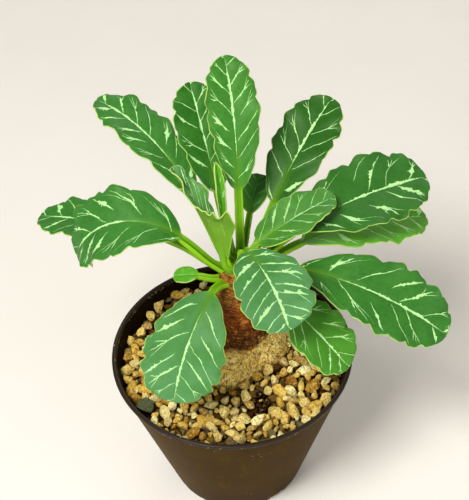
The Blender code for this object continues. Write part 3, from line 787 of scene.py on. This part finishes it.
def scatter_tree():
    """Sets one grain shape on every point, turned at random and scaled by the point's size."""
    inputs = {
        "Grain shapes": "NodeSocketCollection",
        "Grain size": "NodeSocketFloat",
        "Tumble": "NodeSocketFloat",
        "Seed": "NodeSocketInt",
        "Grain finish": "NodeSocketMaterial",
    }
    tree = Tree("poured_grains", inputs)
    points = tree.node("GeometryNodeMeshToPoints", {}, {"Mesh": tree.given("Geometry")})
    values = {"Separate Children": True, "Reset Children": True}
    values["Collection"] = tree.given("Grain shapes")
    shapes = tree.node("GeometryNodeCollectionInfo", {}, values)
    size = tree.node("GeometryNodeInputNamedAttribute", {"data_type": "FLOAT"}, {"Name": "size"})
    kind = tree.node("GeometryNodeInputNamedAttribute", {"data_type": "INT"}, {"Name": "kind"})
    values = {"Seed": tree.given("Seed")}
    spin = tree.node("FunctionNodeRandomValue", {"data_type": "FLOAT_VECTOR"}, values)
    values = {0: spin, "Scale": tree.given("Tumble")}
    turned = tree.node("ShaderNodeVectorMath", {"operation": "SCALE"}, values)
    values = {
        "Points": points,
        "Instance": shapes,
        "Pick Instance": True,
        "Instance Index": kind,
        "Rotation": turned,
        "Scale": size * tree.given("Grain size"),
    }
    grains = tree.node("GeometryNodeInstanceOnPoints", {}, values)
    loose = tree.node("GeometryNodeRealizeInstances", {}, {"Geometry": grains})
    values = {"Geometry": loose, "Material": tree.given("Grain finish")}
    return tree, tree.node("GeometryNodeSetMaterial", {}, values)


def grain_finish():
    f = Finish("grit_grains", Specular_IOR_Level=0.1, Specular_Tint=(1.0, 0.8, 0.5, 1.0))
    tone = f.stored("tone")
    mottle = f.noise(1.0, 5.0, 0.65)
    kinds = (
        (0.00, (130, 84, 20)), (0.09, (190, 146, 54)), (0.18, (232, 204, 110)),
        (0.27, (208, 164, 58)), (0.36, (244, 222, 134)), (0.45, (168, 120, 42)),
        (0.54, (250, 234, 156)), (0.63, (228, 184, 70)), (0.72, (222, 194, 112)),
        (0.81, (250, 236, 162)), (0.90, (252, 240, 174)),
        (GREY_TONE, (84, 90, 62)), (LITTER_TONE, (30, 12, 3)),
    )
    colour = f.node("ShaderNodeValToRGB", {}, {"Fac": tone})
    stops = colour.socket.node.color_ramp.elements
    while len(stops) < len(kinds):
        stops.new(0.5)
    for stop, (place, shade) in zip(stops, kinds):
        stop.position = place
        stop.color = paint(*shade)
    crumbled = f.step(abs(tone - GREY_TONE), 0.004, 0.012)
    colour = f.mix(crumbled * f.step(mottle, 0.54, 0.66) * 0.45, colour, (255, 234, 164))
    dark = f.mix(0.85, colour, (140, 92, 40), "MULTIPLY")
    colour = f.mix(f.step(mottle, 0.48, 0.34) * 0.85, colour, dark)
    pits = f.step(f.noise(0.45, 2.0), 0.41, 0.32)
    colour = f.mix(pits * crumbled * 0.6, colour, (96, 62, 24))
    # Painted shade: grains that sit below their neighbours' tops are darkened, as the gaps between
    # grains lie in shade.
    low = f.step(f.stored("depth"), 0.8, 2.3)
    colour = f.mix(low * crumbled * 0.85, colour, (66, 33, 3))
    crumbly = f.noise(0.4, 3.0, 0.6)
    relief = mottle + crumbly * 0.4 - pits * 0.6
    return f.skin(colour, 0.72 + mottle * 0.25, relief, 0.65)


def bed_finish():
    f = Finish("grit_dust", Specular_IOR_Level=0.05)
    # Painted shade: the bed is dark brown so that the gaps between the grains look shadowed.
    lumps = f.noise(1.4, 5.0, 0.7)
    colour = f.mix(f.step(lumps, 0.35, 0.7), (26, 12, 1), (72, 40, 7))
    return f.skin(colour, 0.85 + lumps * 0.1, lumps, 0.9)


def bed_mesh():
    """The shaded inside of the bed, a closed ring under the visible grains."""
    points = []
    turns = [2 * math.pi * k / BED_SIDES for k in range(BED_SIDES)]
    low_r = wall_inside_r(GRIT_BOTTOM) - 0.3
    corners = ((0.0, GRIT_BOTTOM), (1.0, GRIT_BOTTOM), (1.0, None), (0.5, None), (0.0, None))
    for share, z in corners:
        for a in turns:
            inner_x, inner_y = around(caudex_r(math.degrees(a), 62.0) - 0.6, a)
            outer_x, outer_y = around(low_r, a)
            x = CAUDEX_X + inner_x
            y = CAUDEX_Y + inner_y
            x += (outer_x - x) * share
            y += (outer_y - y) * share
            away = math.hypot(x - CAUDEX_X, y - CAUDEX_Y)
            top = float(grit_level(away)) - BED_TOP_DROP + 0.6 if z is None else z
            points.append((x, y, top))
    return millimetre_mesh("grit_bed", points, ring_faces(len(corners), BED_SIDES, joined=True))


spots, sizes = pour_grains()
spots[0, 2] += GREY_STONE_PROUD
mesh = bpy.data.meshes.new("grit_grains")
mesh.from_pydata([tuple(spot * MM) for spot in spots], [], [])
rng = np.random.default_rng(7)
tones = rng.uniform(0.0, TONES_END, len(spots))
off_x, off_y = (spots[:, :2] - LITTER_SPOT).T
litter = np.hypot(off_x, off_y * LITTER_BROAD) < LITTER_R
litter &= rng.uniform(0.0, 1.0, len(spots)) < LITTER_SHARE
tones[litter] = LITTER_TONE
sizes[litter] *= LITTER_SIZE
tones[0] = GREY_TONE
tops = spots[:, 2] + sizes * GRAIN_TOP
apart = np.hypot(*(spots[:, None, :2] - spots[None, :, :2]).transpose(2, 0, 1))
store(mesh, "size", sizes * MM)
store(mesh, "tone", tones)
# How far each grain sits below its neighbours' tops; the grit finish paints shade by it.
store(mesh, "depth", np.where(apart < NEIGHBOUR, tops, 0.0).max(axis=1) - tops)
shape_numbers = rng.integers(0, GRAIN_SHAPES, len(spots)).astype(np.int32)
shape_numbers[0] = GREY_STONE_SHAPE
mesh.attributes.new("kind", "INT", "POINT").data.foreach_set("value", shape_numbers)
shapes = helper_objects("grain", [grain_mesh(k) for k in range(GRAIN_SHAPES)])
grit_grains = new_piece("grit_grains", mesh)
tree, dressed = scatter_tree()
tree.finish_on(
    grit_grains,
    dressed,
    {
        "Grain shapes": shapes,
        "Grain size": 1.0,
        "Tumble": math.tau,
        "Seed": 5,
        "Grain finish": grain_finish(),
    },
)
drop(shapes)
declare(grit_grains, "grit", "grit")
grit_bed = new_piece("grit_bed", bed_mesh(), bed_finish())
declare(grit_bed, "grit")

# Leaves: seventeen fleshy leaves, each with its channelled stalk one grown piece, seated
# round the dome. The blade is spatula-shaped with a waved, finely scalloped margin, puffed
# a little between its side veins. Pale, ragged veins and a thin pale margin mark it.

BLADE_ROWS = 74
SHORT_BLADE = 12.0
SHORT_BLADE_ROWS = 36
STALK_ROWS = 14
STALK_SUNK = 1.8
SETTLE = 8.0
LEAF_GAP = 0.3
BLADE_THICK = 0.56
STALK_DEEP = 1.5
RIB_DEEP = 0.9
LOBE_LONG = 7.0
LOBE_DEEP = 0.12
CURL_END = 0.4
FLARE = 1.8
FLARE_AT = 0.3
# Folds of a curled rim: how far along the blade each stands, how high and how wide it is.
FRILLS = ((0.352, 4.6, 0.024), (0.427, 4.2, 0.016), (0.49, 1.8, 0.014), (0.55, 1.8, 0.014))
FRILL_LIFT = 0.75
PUFF = 0.26
PHASE_APART = 40.0

# Angles in degrees: turn is measured from +X towards +Y, rise from the horizontal. belly and
# point are the powers by which the outline widens from the stalk and narrows to the tip, and
# curl is how much further the left half folds over near the stalk.
Leaf = namedtuple(
    "Leaf",
    "name seat_turn seat_rise turn rise stalk blade_rise tip_rise sweep blade wide roll fold wave"
    " stalk_wide belly point curl",
    defaults=(0.74, 0.46, 0),
)
LEAVES = (
    Leaf("leaf_01", 84, 50, 88, 76, 24, 60, 48, 15, 45, 19, 0, 8, 1.0, 3.0),
    Leaf("leaf_02", 104, 24, 108, 52, 24, 54, 46, 0, 39, 20, 0, 8, 1.0, 2.8),
    Leaf("leaf_03", 130, 34, 125.5, 51, 25, 39, 4, 18, 52, 20, 2, 8, 1.2, 3.0, 0.8, 0.5),
    Leaf("leaf_04", 155, 16, 153, 27, 23, 0, -14, 4, 52, 23, 0, 6, 1.0, 3.0),
    Leaf("leaf_05", 180, 38, 164, 47, 19, 37, -72, 14, 46, 29, 20, 6, 1.2, 3.0),
    Leaf("leaf_06", 222, 58, 130, 66, 5, 60, 32, 3, 36, 10.4, -10, 28, 1.6, 3.4, 0.55, 0.36, 80),
    Leaf("leaf_07", 146, 60, 90, 71, 13, 73, 70, 24, 23, 5, 0, 45, 0.2, 2.0),
    Leaf("leaf_08", 52, 30, 56, 46, 21, 38, 27, -9, 43, 23, -6, 8, 1.1, 3.0),
    Leaf("leaf_09", 78, 22, 73, 54, 16, 36, 16, -4, 15, 12, 0, 10, 0.5, 2.2),
    Leaf("leaf_10", 12, 40, 26, 32, 19, 15, -4, -8, 51, 31, -15, 8, 1.1, 3.0),
    Leaf("leaf_11", 25, 66, 24, 51, 7, 28, 10, -4, 31, 17.5, -7, 10, 0.8, 2.6, 0.48, 0.44),
    Leaf("leaf_12", 24, 14, 22, 20, 18, 4, -15, -8, 49, 24, -10, 6, 1.1, 3.0),
    Leaf("leaf_13", -16, 26, -16, 24, 15, -3, -29, -13, 54.5, 28, -18, 6, 1.1, 3.2),
    Leaf("leaf_14", -82, 68, -64, 86, 15.5, 13, -56, -2, 32, 27, 0, 4, 0.9, 2.8),
    Leaf("leaf_15", -44, 12, -42, 6, 11, -22, -40, 4, 33, 24, 0, 6, 0.8, 2.8),
    Leaf("leaf_16", -138, 18, -124, 10, 7, -20, -64, 8, 40, 29, 20, 4, 0.9, 3.0),
    Leaf("leaf_17", -170, 10, 170, 12, 7, 0, -16, 0, 8.6, 7.4, 10, 8, 0.3, 2.0, 0.6, 0.44),
)
# vein is the angle of the side veins to the midrib, pitch how far apart they leave it, spine
# how wide the pale midrib is, loose how far from it most veins begin, marks how pale they
# are, bloom how much waxy bloom with painted sheen greys the blade, and light how much
# painted light (above 0) and painted shade (below 0) its green carries
Look = namedtuple("Look", "vein pitch spine light bloom loose marks", defaults=(0, 0, 0.6, 1))
LOOKS = {
    "leaf_01": Look(42, 6.4, 0.36, 0.1),
    "leaf_02": Look(46, 7, 0.32, -0.1),
    "leaf_03": Look(44, 7.4, 0.38, 0, 0.1),
    "leaf_04": Look(50, 7.6, 0.36, 0, 0.1),
    "leaf_05": Look(46, 7.6, 0.48, 0, 0.15),
    "leaf_06": Look(15, 4, 0.18, -0.35, 0.9, 0.1),
    "leaf_07": Look(24, 6, 0.2, 0.1, marks=0.4),
    "leaf_08": Look(46, 7.6, 0.44, -0.75),
    "leaf_09": Look(46, 4, 0.1, -0.45, marks=0.15),
    "leaf_10": Look(50, 9, 0.52, -0.4, 0.15, 0.8),
    "leaf_11": Look(42, 5.2, 0.32, -0.5, 0.5, 0.2, 0.7),
    "leaf_12": Look(50, 7.6, 0.4, 1, 0.3),
    "leaf_13": Look(44, 8.8, 0.46, -0.1, 0.1, 0.9),
    "leaf_14": Look(68, 3.9, 0.62, 0, 0.9, 0.1),
    "leaf_15": Look(46, 6.4, 0.34, 0.45),
    "leaf_16": Look(52, 6, 0.36, 0, 0.75, 0.7),
    "leaf_17": Look(46, 9, 0.4, 0.1, marks=0.12),
}
YOUNG_LEAVES = ("leaf_06", "leaf_07", "leaf_11", "leaf_17")
COLUMNS = (0.0, 0.018, 0.04, 0.07, 0.12, 0.2, 0.3, 0.42, 0.55, 0.68, 0.8, 0.88, 0.94, 0.98, 1.0)
ACROSS = np.array([-v for v in COLUMNS[:0:-1]] + list(COLUMNS))
MIDDLE = len(COLUMNS) - 1


def heading(turn, rise):
    a = math.radians(turn)
    e = math.radians(rise)
    return np.array([math.cos(e) * math.cos(a), math.cos(e) * math.sin(a), math.sin(e)])


def leaf_path(leaf, distances):
    """Places, directions and turns along the middle of a leaf, from inside its seat outward."""
    settle = min(SETTLE, leaf.stalk * 0.6)
    marks = (0.0, settle, leaf.stalk, leaf.stalk + leaf.blade)
    first = leaf.seat_turn + angle_off(leaf.turn, leaf.seat_turn)
    turns = (leaf.seat_turn, first, first, first + leaf.sweep)
    rises = (leaf.seat_rise, leaf.rise, leaf.blade_rise, leaf.tip_rise)
    seat = heading(leaf.seat_turn, leaf.seat_rise)
    place = np.array([CAUDEX_X, CAUDEX_Y, CROWN_Z]) + seat * (CROWN_R + LEAF_GAP - STALK_SUNK)
    path = []
    at = -STALK_SUNK
    for distance in distances:
        count = max(1, math.ceil((distance - at) / 0.5))
        step = (distance - at) / count
        for k in range(count):
            mid = at + step * (k + 0.5)
            place = place + step * heading(*(np.interp(mid, marks, v) for v in (turns, rises)))
        at = distance
        turn, rise = (np.interp(at, marks, values) for values in (turns, rises))
        path.append((place, heading(turn, rise), turn))
    return path


def blade_share(u):
    """Rows crowd towards the tip, where the outline turns fastest."""
    return 1 - (1 - u) ** 1.6


def spread(leaf, t):
    """Half width of a spatula-shaped blade, 1 at its widest."""
    widest = leaf.belly / (leaf.belly + leaf.point)
    full = widest**leaf.belly * (1 - widest) ** leaf.point
    return t**leaf.belly * (1 - t) ** leaf.point / full


def left_curl(leaf, t):
    """How far the left half folds over, in degrees; it opens out past the first third."""
    return leaf.curl * (0.2 + 0.8 / (1 + math.exp((t - CURL_END) / 0.055)))


def vein_phase(leaf, t, x):
    """Counts the side veins outward: whole numbers fall on veins that lean to the tip."""
    lean = 1 / math.tan(math.radians(LOOKS[leaf.name].vein))
    return (leaf.blade * t - abs(x) * lean * 0.9 - 0.018 * x * x) / LOOKS[leaf.name].pitch


def blade_row(leaf, station, u):
    """One row across the middle sheet: points, width numbers and the share of blade."""
    place, along, turn = station
    t = blade_share(u)
    a = math.radians(turn)
    across = np.array([math.sin(a), -math.cos(a), 0.0])
    up = np.cross(across, along)
    roll = math.radians(leaf.roll) * min(1.0, 3 * t)
    across, up = (
        across * math.cos(roll) + up * math.sin(roll),
        up * math.cos(roll) - across * math.sin(roll),
    )
    stalk_half = leaf.stalk_wide / 2 * (1 - t)
    half = stalk_half + max(0.0, leaf.wide / 2 - stalk_half) * spread(leaf, t)
    v = ACROSS
    curl = np.where(v < 0, left_curl(leaf, t), 0.0)
    half = half * (1 + FLARE * curl / 90 * math.exp(-(((t - FLARE_AT) / 0.17) ** 2)))
    lobes = max(3, round(leaf.blade / LOBE_LONG))
    shift = np.where(v > 0, 0.0, 0.37)
    edge = np.maximum(0.0, np.abs(v) - 0.55) / 0.45
    notch = (1 - np.abs(np.sin(math.pi * (lobes * u + shift)))) ** 1.5
    fine = np.sin(2 * math.pi * (lobes * 1.7 * u + 3.1 * shift + leaf.turn * 0.13))
    depth = min(1.0, leaf.blade / 30) * min(1.0, 4 * u)
    wide = half * (1 - edge * depth * (LOBE_DEEP * notch + 0.02 * (fine + 1)))
    fade = min(1.0, 3 * u) * min(1.0, 0.25 + 5 * (1 - t))
    ripple = leaf.wave * v * v * fade * np.sin(math.pi * (lobes * u + shift * 2.6))
    ripple += 0.2 * leaf.wave * edge**2 * fade * np.sin(math.pi * (lobes * 2.7 * u + shift * 5))
    x = v * wide
    count = vein_phase(leaf, t, x) + 0.5 * (v > 0)
    puff = 0.5 - 0.5 * np.cos(2 * math.pi * count)
    ripple += PUFF * puff * np.minimum(1.0, 3 * np.abs(v)) * (1 - v**4) * min(1.0, 5 * u) * (
        min(1.0, leaf.wide / 20)
    )
    fold = np.radians(leaf.fold + curl * np.minimum(1.0, 2 * np.abs(v)))
    lift = np.abs(x) * np.sin(fold) + ripple
    frill = sum(high * math.exp(-(((t - at) / broad) ** 2)) for at, high, broad in FRILLS)
    points = place + np.outer(x * np.cos(fold), across) + np.outer(lift, up)
    points += np.outer(edge**1.5 * curl / 90 * frill, along + FRILL_LIFT * up)
    return points, x, wide, t


def leaf_thickness(leaf, x, distance, t):
    """How far the skin stands above and below the middle sheet, across one row."""
    v = ACROSS
    taper = np.sqrt(np.maximum(0.0, 1 - (np.maximum(0.0, np.abs(v) - 0.93) / 0.07) ** 2))
    on_blade = ease(distance, -3.0, 4.0)
    stalk_half = leaf.stalk_wide / 2
    rib_half = stalk_half * (1 - on_blade) + (0.95 - 0.55 * t) * on_blade
    rib = STALK_DEEP * (1 - on_blade) + RIB_DEEP * (1 - 0.7 * t) * on_blade
    bow = np.sqrt(np.maximum(0.0, 1 - (x / (rib_half * 1.02)) ** 2))
    groove = (0.42 * (1 - on_blade) + 0.16 * on_blade) * np.exp(-((x / (0.55 * rib_half)) ** 2))
    above = BLADE_THICK / 2 * taper - groove + 0.3 * (1 - on_blade) * taper
    below = BLADE_THICK / 2 * taper + rib * bow * taper
    return above, below


def leaf_grid(leaf):
    """The middle sheet row by row, with everything that the skin is made from."""
    rows = BLADE_ROWS if leaf.blade > SHORT_BLADE else SHORT_BLADE_ROWS
    if leaf.curl:
        rows = 2 * BLADE_ROWS
    stalk = [(leaf.stalk + STALK_SUNK) * k / STALK_ROWS - STALK_SUNK for k in range(STALK_ROWS)]
    shares = [k / rows for k in range(rows)] + [1 - 0.25 / rows]
    distances = stalk + [leaf.stalk + leaf.blade * blade_share(u) for u in shares]
    path = leaf_path(leaf, distances)
    grid = []
    for k, distance in enumerate(distances):
        u = max(0.0, shares[k - STALK_ROWS]) if k >= STALK_ROWS else 0.0
        points, x, wide, t = blade_row(leaf, path[k], u)
        past = distance - leaf.stalk
        if past < 0:
            flare = 1 + 0.35 * math.exp(-(((distance + 1.0) / 2.2) ** 2))
            points = path[k][0] + (points - path[k][0]) * flare
        grid.append((points, x, wide, past, t))
    return grid, leaf_path(leaf, [leaf.stalk + leaf.blade])[0][0]


def leaf_mesh(leaf):
    """The closed skin of one leaf: every row is a loop over the top and back underneath.

    Its table holds a line for each point: the place, then five numbers for the finish.
    """
    grid, tip = leaf_grid(leaf)
    sheet = np.stack([row[0] for row in grid])
    run = np.gradient(sheet, axis=0)
    side = np.gradient(sheet, axis=1)
    normals = np.cross(side, run)
    normals /= np.linalg.norm(normals, axis=2)[:, :, None] + 1e-9
    if normals[STALK_ROWS + 5, MIDDLE, 2] < 0 and leaf.rise < 89:
        normals = -normals
    rows = []
    for (sheet_row, x, wide, past, t), normal in zip(grid, normals):
        above, below = leaf_thickness(leaf, x, past, t)
        reach = np.full(len(x), t if past >= 0 else past / leaf.blade)
        phase = vein_phase(leaf, t, x) + PHASE_APART * LEAVES.index(leaf)
        upper = np.where(np.abs(ACROSS) < 1, 1.0, 0.5)
        top = (sheet_row + normal * above[:, None], x, wide, reach, phase, upper)
        under = (sheet_row - normal * below[:, None], x, wide, reach, phase, np.zeros(len(x)))
        rows += [np.column_stack(top), np.column_stack(under)[-2:0:-1]]
    rows.append([[*tip, 0.0, 0.0, 1.0, rows[-1][-1, 6], 0.5]])
    table = np.concatenate(rows)
    ring = 2 * len(ACROSS) - 2
    faces = ring_faces(len(grid), ring)
    end = len(grid) * ring
    for k in range(ring):
        faces.append((end - ring + k, end - ring + (k + 1) % ring, end))
    faces.append(tuple(range(ring)))
    mesh = millimetre_mesh(leaf.name + "_blade", table[:, :3].tolist(), faces)
    for name, numbers in zip(("across", "half", "reach", "phase", "upper"), table.T[3:]):
        store(mesh, name, numbers.tolist())
    look = LOOKS[leaf.name]
    for name in ("pitch", "spine", "loose", "marks", "bloom", "light"):
        store(mesh, name, [getattr(look, name)] * len(table))
    return mesh


def vein_marks(f, across, half, reach, phase):
    """The pale midrib and side veins with their ragged edges and forks."""
    pitch = f.stored("pitch")
    ragged = f.noise(1.25, 4.0, 0.72) - 0.5
    blot = f.step(f.noise(3.0, 2.0), 0.38, 0.62)
    wiggle = f.noise(3.0, 2.0) - 0.5
    drift = f.noise(10.0, 1.0) - 0.5
    side = across > 0.0
    x = abs(across)
    share = x / half.at_least(0.3)
    count = phase + side * 0.5 + drift * 0.5 + wiggle * 1.3 / pitch
    number = count.whole()
    spot = f.node("ShaderNodeCombineXYZ", {}, {0: number, 1: side, 2: 0.5})
    dice = f.node("ShaderNodeTexWhiteNoise", {}, {"Vector": spot}, "Color")
    first = f.node("ShaderNodeSeparateColor", {}, {0: dice})
    second = Amount(f, first.socket.node.outputs[1])
    third = Amount(f, first.socket.node.outputs[2])
    swerve = (second - 0.5) * 0.24 + (third - 0.5) * share * 0.5
    off = abs((count - number + swerve) * pitch * 0.72 + ragged * 0.62)
    late = (first - 0.2).at_least(0.0) * f.stored("loose") * 0.7 * f.step(reach, 0.8, 0.45)
    body = f.step(share - late, 0.04, 0.36) * f.step(share + second * 0.16, 0.98, 0.58)
    thin = f.step(share + second * 0.2, 1.02, 0.93) * f.step(share - late, -0.01, 0.06)
    bold = f.step(first * third, 0.05, 0.5)
    swell = body * pitch * (0.012 + bold * 0.11) * (0.12 + blot * 0.84) * (1 + ragged * 4.6)
    main = ((thin * 0.16 * (1 + ragged * 1.5) + swell - off) * 7.0).held() * (0.8 + body * 0.2)
    parted = abs(off - (share - 0.48).at_least(0.0) * half * 0.46)
    fork = ((0.17 * f.step(share, 0.98, 0.6) * (1 + ragged * 3.0) - parted) * 8.0).held()
    fork = fork * (second > 0.55) * f.step(share, 0.48, 0.54)
    rib = f.step(reach, 0.18, 0.6) * f.step(reach, 1.0, 0.78) * (0.45 + blot * 0.75)
    middle = (0.13 + f.stored("spine") * rib) * (1 + ragged * 2.8) - abs(across + ragged * 0.5)
    middle = (middle * 7.0).held()
    pale = f.step(reach + drift * 0.5, 0.16, 0.44) * f.step(reach, 1.0, 0.95)
    return main.at_least(fork), middle, pale


def leaf_finish(name, deep, fresh, stalk, under):
    """Waxy green blade with pale veins above, plainer and paler below, and a lime stalk; its
    painted sheen and painted light and shade are set leaf by leaf.
    """
    f = Finish(name, Specular_IOR_Level=0.22, Specular_Tint=(0.9, 1.0, 0.7, 1.0))
    across = f.stored("across")
    half = f.stored("half")
    reach = f.stored("reach")
    bloom = f.stored("bloom")
    light = f.stored("light")
    upper = f.step(f.stored("upper"), 0.45, 0.55)
    side_veins, middle, pale = vein_marks(f, across, half, reach, f.stored("phase"))
    cloud = f.noise(6.0, 3.0)
    cell = f.noise(0.5, 2.0)
    mottle = f.noise(1.6, 4.0, 0.65)
    green = f.mix(cloud, deep, fresh)
    green = f.mix(f.step(mottle, 0.45, 0.7) * 0.35, green, fresh)
    green = f.mix(f.step(mottle, 0.5, 0.32) * 0.3, green, (24, 74, 18))
    worn = f.step(f.noise(9.0, 3.0, 0.6), 0.36, 0.64)
    # Waxy bloom with painted sheen: a pale blue-grey green, stronger towards the tip, partly the
    # blade's own bloom and partly painted reflection of the light above.
    waxy_and_sheen = bloom * (0.1 + 0.3 * worn + 0.6 * reach.held())
    green = f.mix(waxy_and_sheen, green, (86, 138, 86))
    # Painted light and shade: each leaf's light number darkens its green below 0 and pales it
    # above 0, for the light that falls on that leaf.
    green = f.mix((0 - light).held() * 0.8, green, (20, 64, 2))
    green = f.mix(light.held() * 0.8, green, (96, 166, 46))
    near_rib = f.step(abs(across), 2.6, 0.4) * f.step(reach, 0.5, 0.0)
    green = f.mix(near_rib * 0.5, green, stalk)
    veins = side_veins.at_least(middle * pale) * f.stored("marks")
    green = f.mix(middle * (1 - pale) * 0.8, green, stalk)
    green = f.mix(veins * 0.95, green, (178, 226, 148))
    back = f.mix(cloud * 0.35, under, (140, 178, 84))
    back = f.mix(side_veins * 0.35 + middle * 0.6, back, (150, 184, 92))
    back = f.mix(f.step(reach, 0.4, 0.05) * 0.7, back, stalk)
    colour = f.mix(upper, back, green)
    margin = f.step(half - abs(across), 0.36, 0.14) * f.step(reach, 0.0, 0.1)
    colour = f.mix(margin * 0.8, colour, (176, 204, 96))
    ridge = f.step(abs(across) / half.at_least(0.3), 0.4, 1.0)
    ridge = ridge * 0.6 + f.noise(2.5, 2.0) * 0.4
    lime = f.mix(ridge, stalk, (136, 190, 22))
    colour = f.mix(f.step(reach, 0.05, -0.04), colour, lime)
    rough = 0.44 + cell * 0.10 + veins * 0.12 + (1 - upper) * 0.15
    relief = cell * 0.35 + cloud * 0.3 - veins * 0.5
    return f.skin(colour, rough, relief, 0.12)


grown_green = leaf_finish(
    "grown_leaf", (35, 95, 24), (56, 120, 36), (82, 134, 14), (92, 132, 54)
)
young_green = leaf_finish(
    "young_leaf", (64, 136, 28), (92, 162, 36), (98, 150, 20), (80, 126, 4)
)
for leaf in LEAVES:
    young = leaf.name in YOUNG_LEAVES
    green, slot = (young_green, "young_leaf") if young else (grown_green, "grown_leaf")
    blade = new_piece(leaf.name + "_blade", leaf_mesh(leaf), green)
    declare(blade, slot, leaf.name)

# Studio: a pale floor, soft light from large panels above, in front and behind, and the
# camera that looks down over the front of the rim.

FLOOR_SIZE = 2.4
LOOK_AT = Vector((2.75, 52.63, 66.0)) * MM
CAMERA_AWAY = 412.3 * MM
CAMERA_RISE = 43.67
CAMERA_ROLL = -2.8
LENS_LONG = 72.0
SENSOR_WIDE = 36.0
SKY_COLOUR = (0.92, 0.91, 0.88, 1.0)
SKY_STRENGTH = 0.27
PANELS = (
    ("key", (-0.34, -0.40, 0.85), 0.34, 10.0),
    ("fill", (0.75, -0.55, 0.45), 0.60, 2.2),
    ("front", (0.05, -0.75, 0.28), 0.50, 1.5),
    ("back", (0.15, 0.80, 0.65), 0.60, 2.6),
)


def floor_finish():
    f = Finish("floor", Specular_IOR_Level=0.2)
    cloud = f.noise(60.0, 3.0)
    colour = f.mix(cloud, (226, 219, 208), (232, 226, 216))
    return f.skin(colour, 0.75 + cloud * 0.1)


reach = FLOOR_SIZE / 2 / MM
corners = [(-reach, -reach, 0), (reach, -reach, 0), (reach, reach, 0), (-reach, reach, 0)]
mesh = bpy.data.meshes.new("floor")
mesh.from_pydata([Vector(c) * MM for c in corners], [], [(0, 1, 2, 3)])
new_piece("floor", mesh, floor_finish())

for name, place, size, power in PANELS:
    lamp = bpy.data.lights.new(name, "AREA")
    lamp.size = size
    lamp.energy = power
    panel = new_piece(name, lamp)
    panel.location = place
    panel.rotation_euler = (LOOK_AT - Vector(place)).to_track_quat("-Z", "Y").to_euler()

world = bpy.data.worlds.new("studio")
world.use_nodes = True
sky = world.node_tree.nodes["Background"].inputs
sky["Color"].default_value = SKY_COLOUR
sky["Strength"].default_value = SKY_STRENGTH
bpy.context.scene.world = world
bpy.context.scene.view_settings.view_transform = "Standard"

rise = math.radians(CAMERA_RISE)
roll = math.radians(CAMERA_ROLL)
back = Vector((0.0, -math.cos(rise), math.sin(rise)))
level = Vector((1.0, 0.0, 0.0))
upright = back.cross(level)
right = level * math.cos(roll) + upright * math.sin(roll)
above = upright * math.cos(roll) - level * math.sin(roll)
lens = bpy.data.cameras.new("camera")
lens.lens = LENS_LONG
lens.sensor_width = SENSOR_WIDE
lens.clip_start = 0.01
lens.clip_end = 10.0
camera = new_piece("camera", lens)
camera.matrix_world = Matrix.Translation(LOOK_AT + back * CAMERA_AWAY) @ (
    Matrix((right, above, back)).transposed().to_4x4()
)
bpy.context.scene.camera = camera
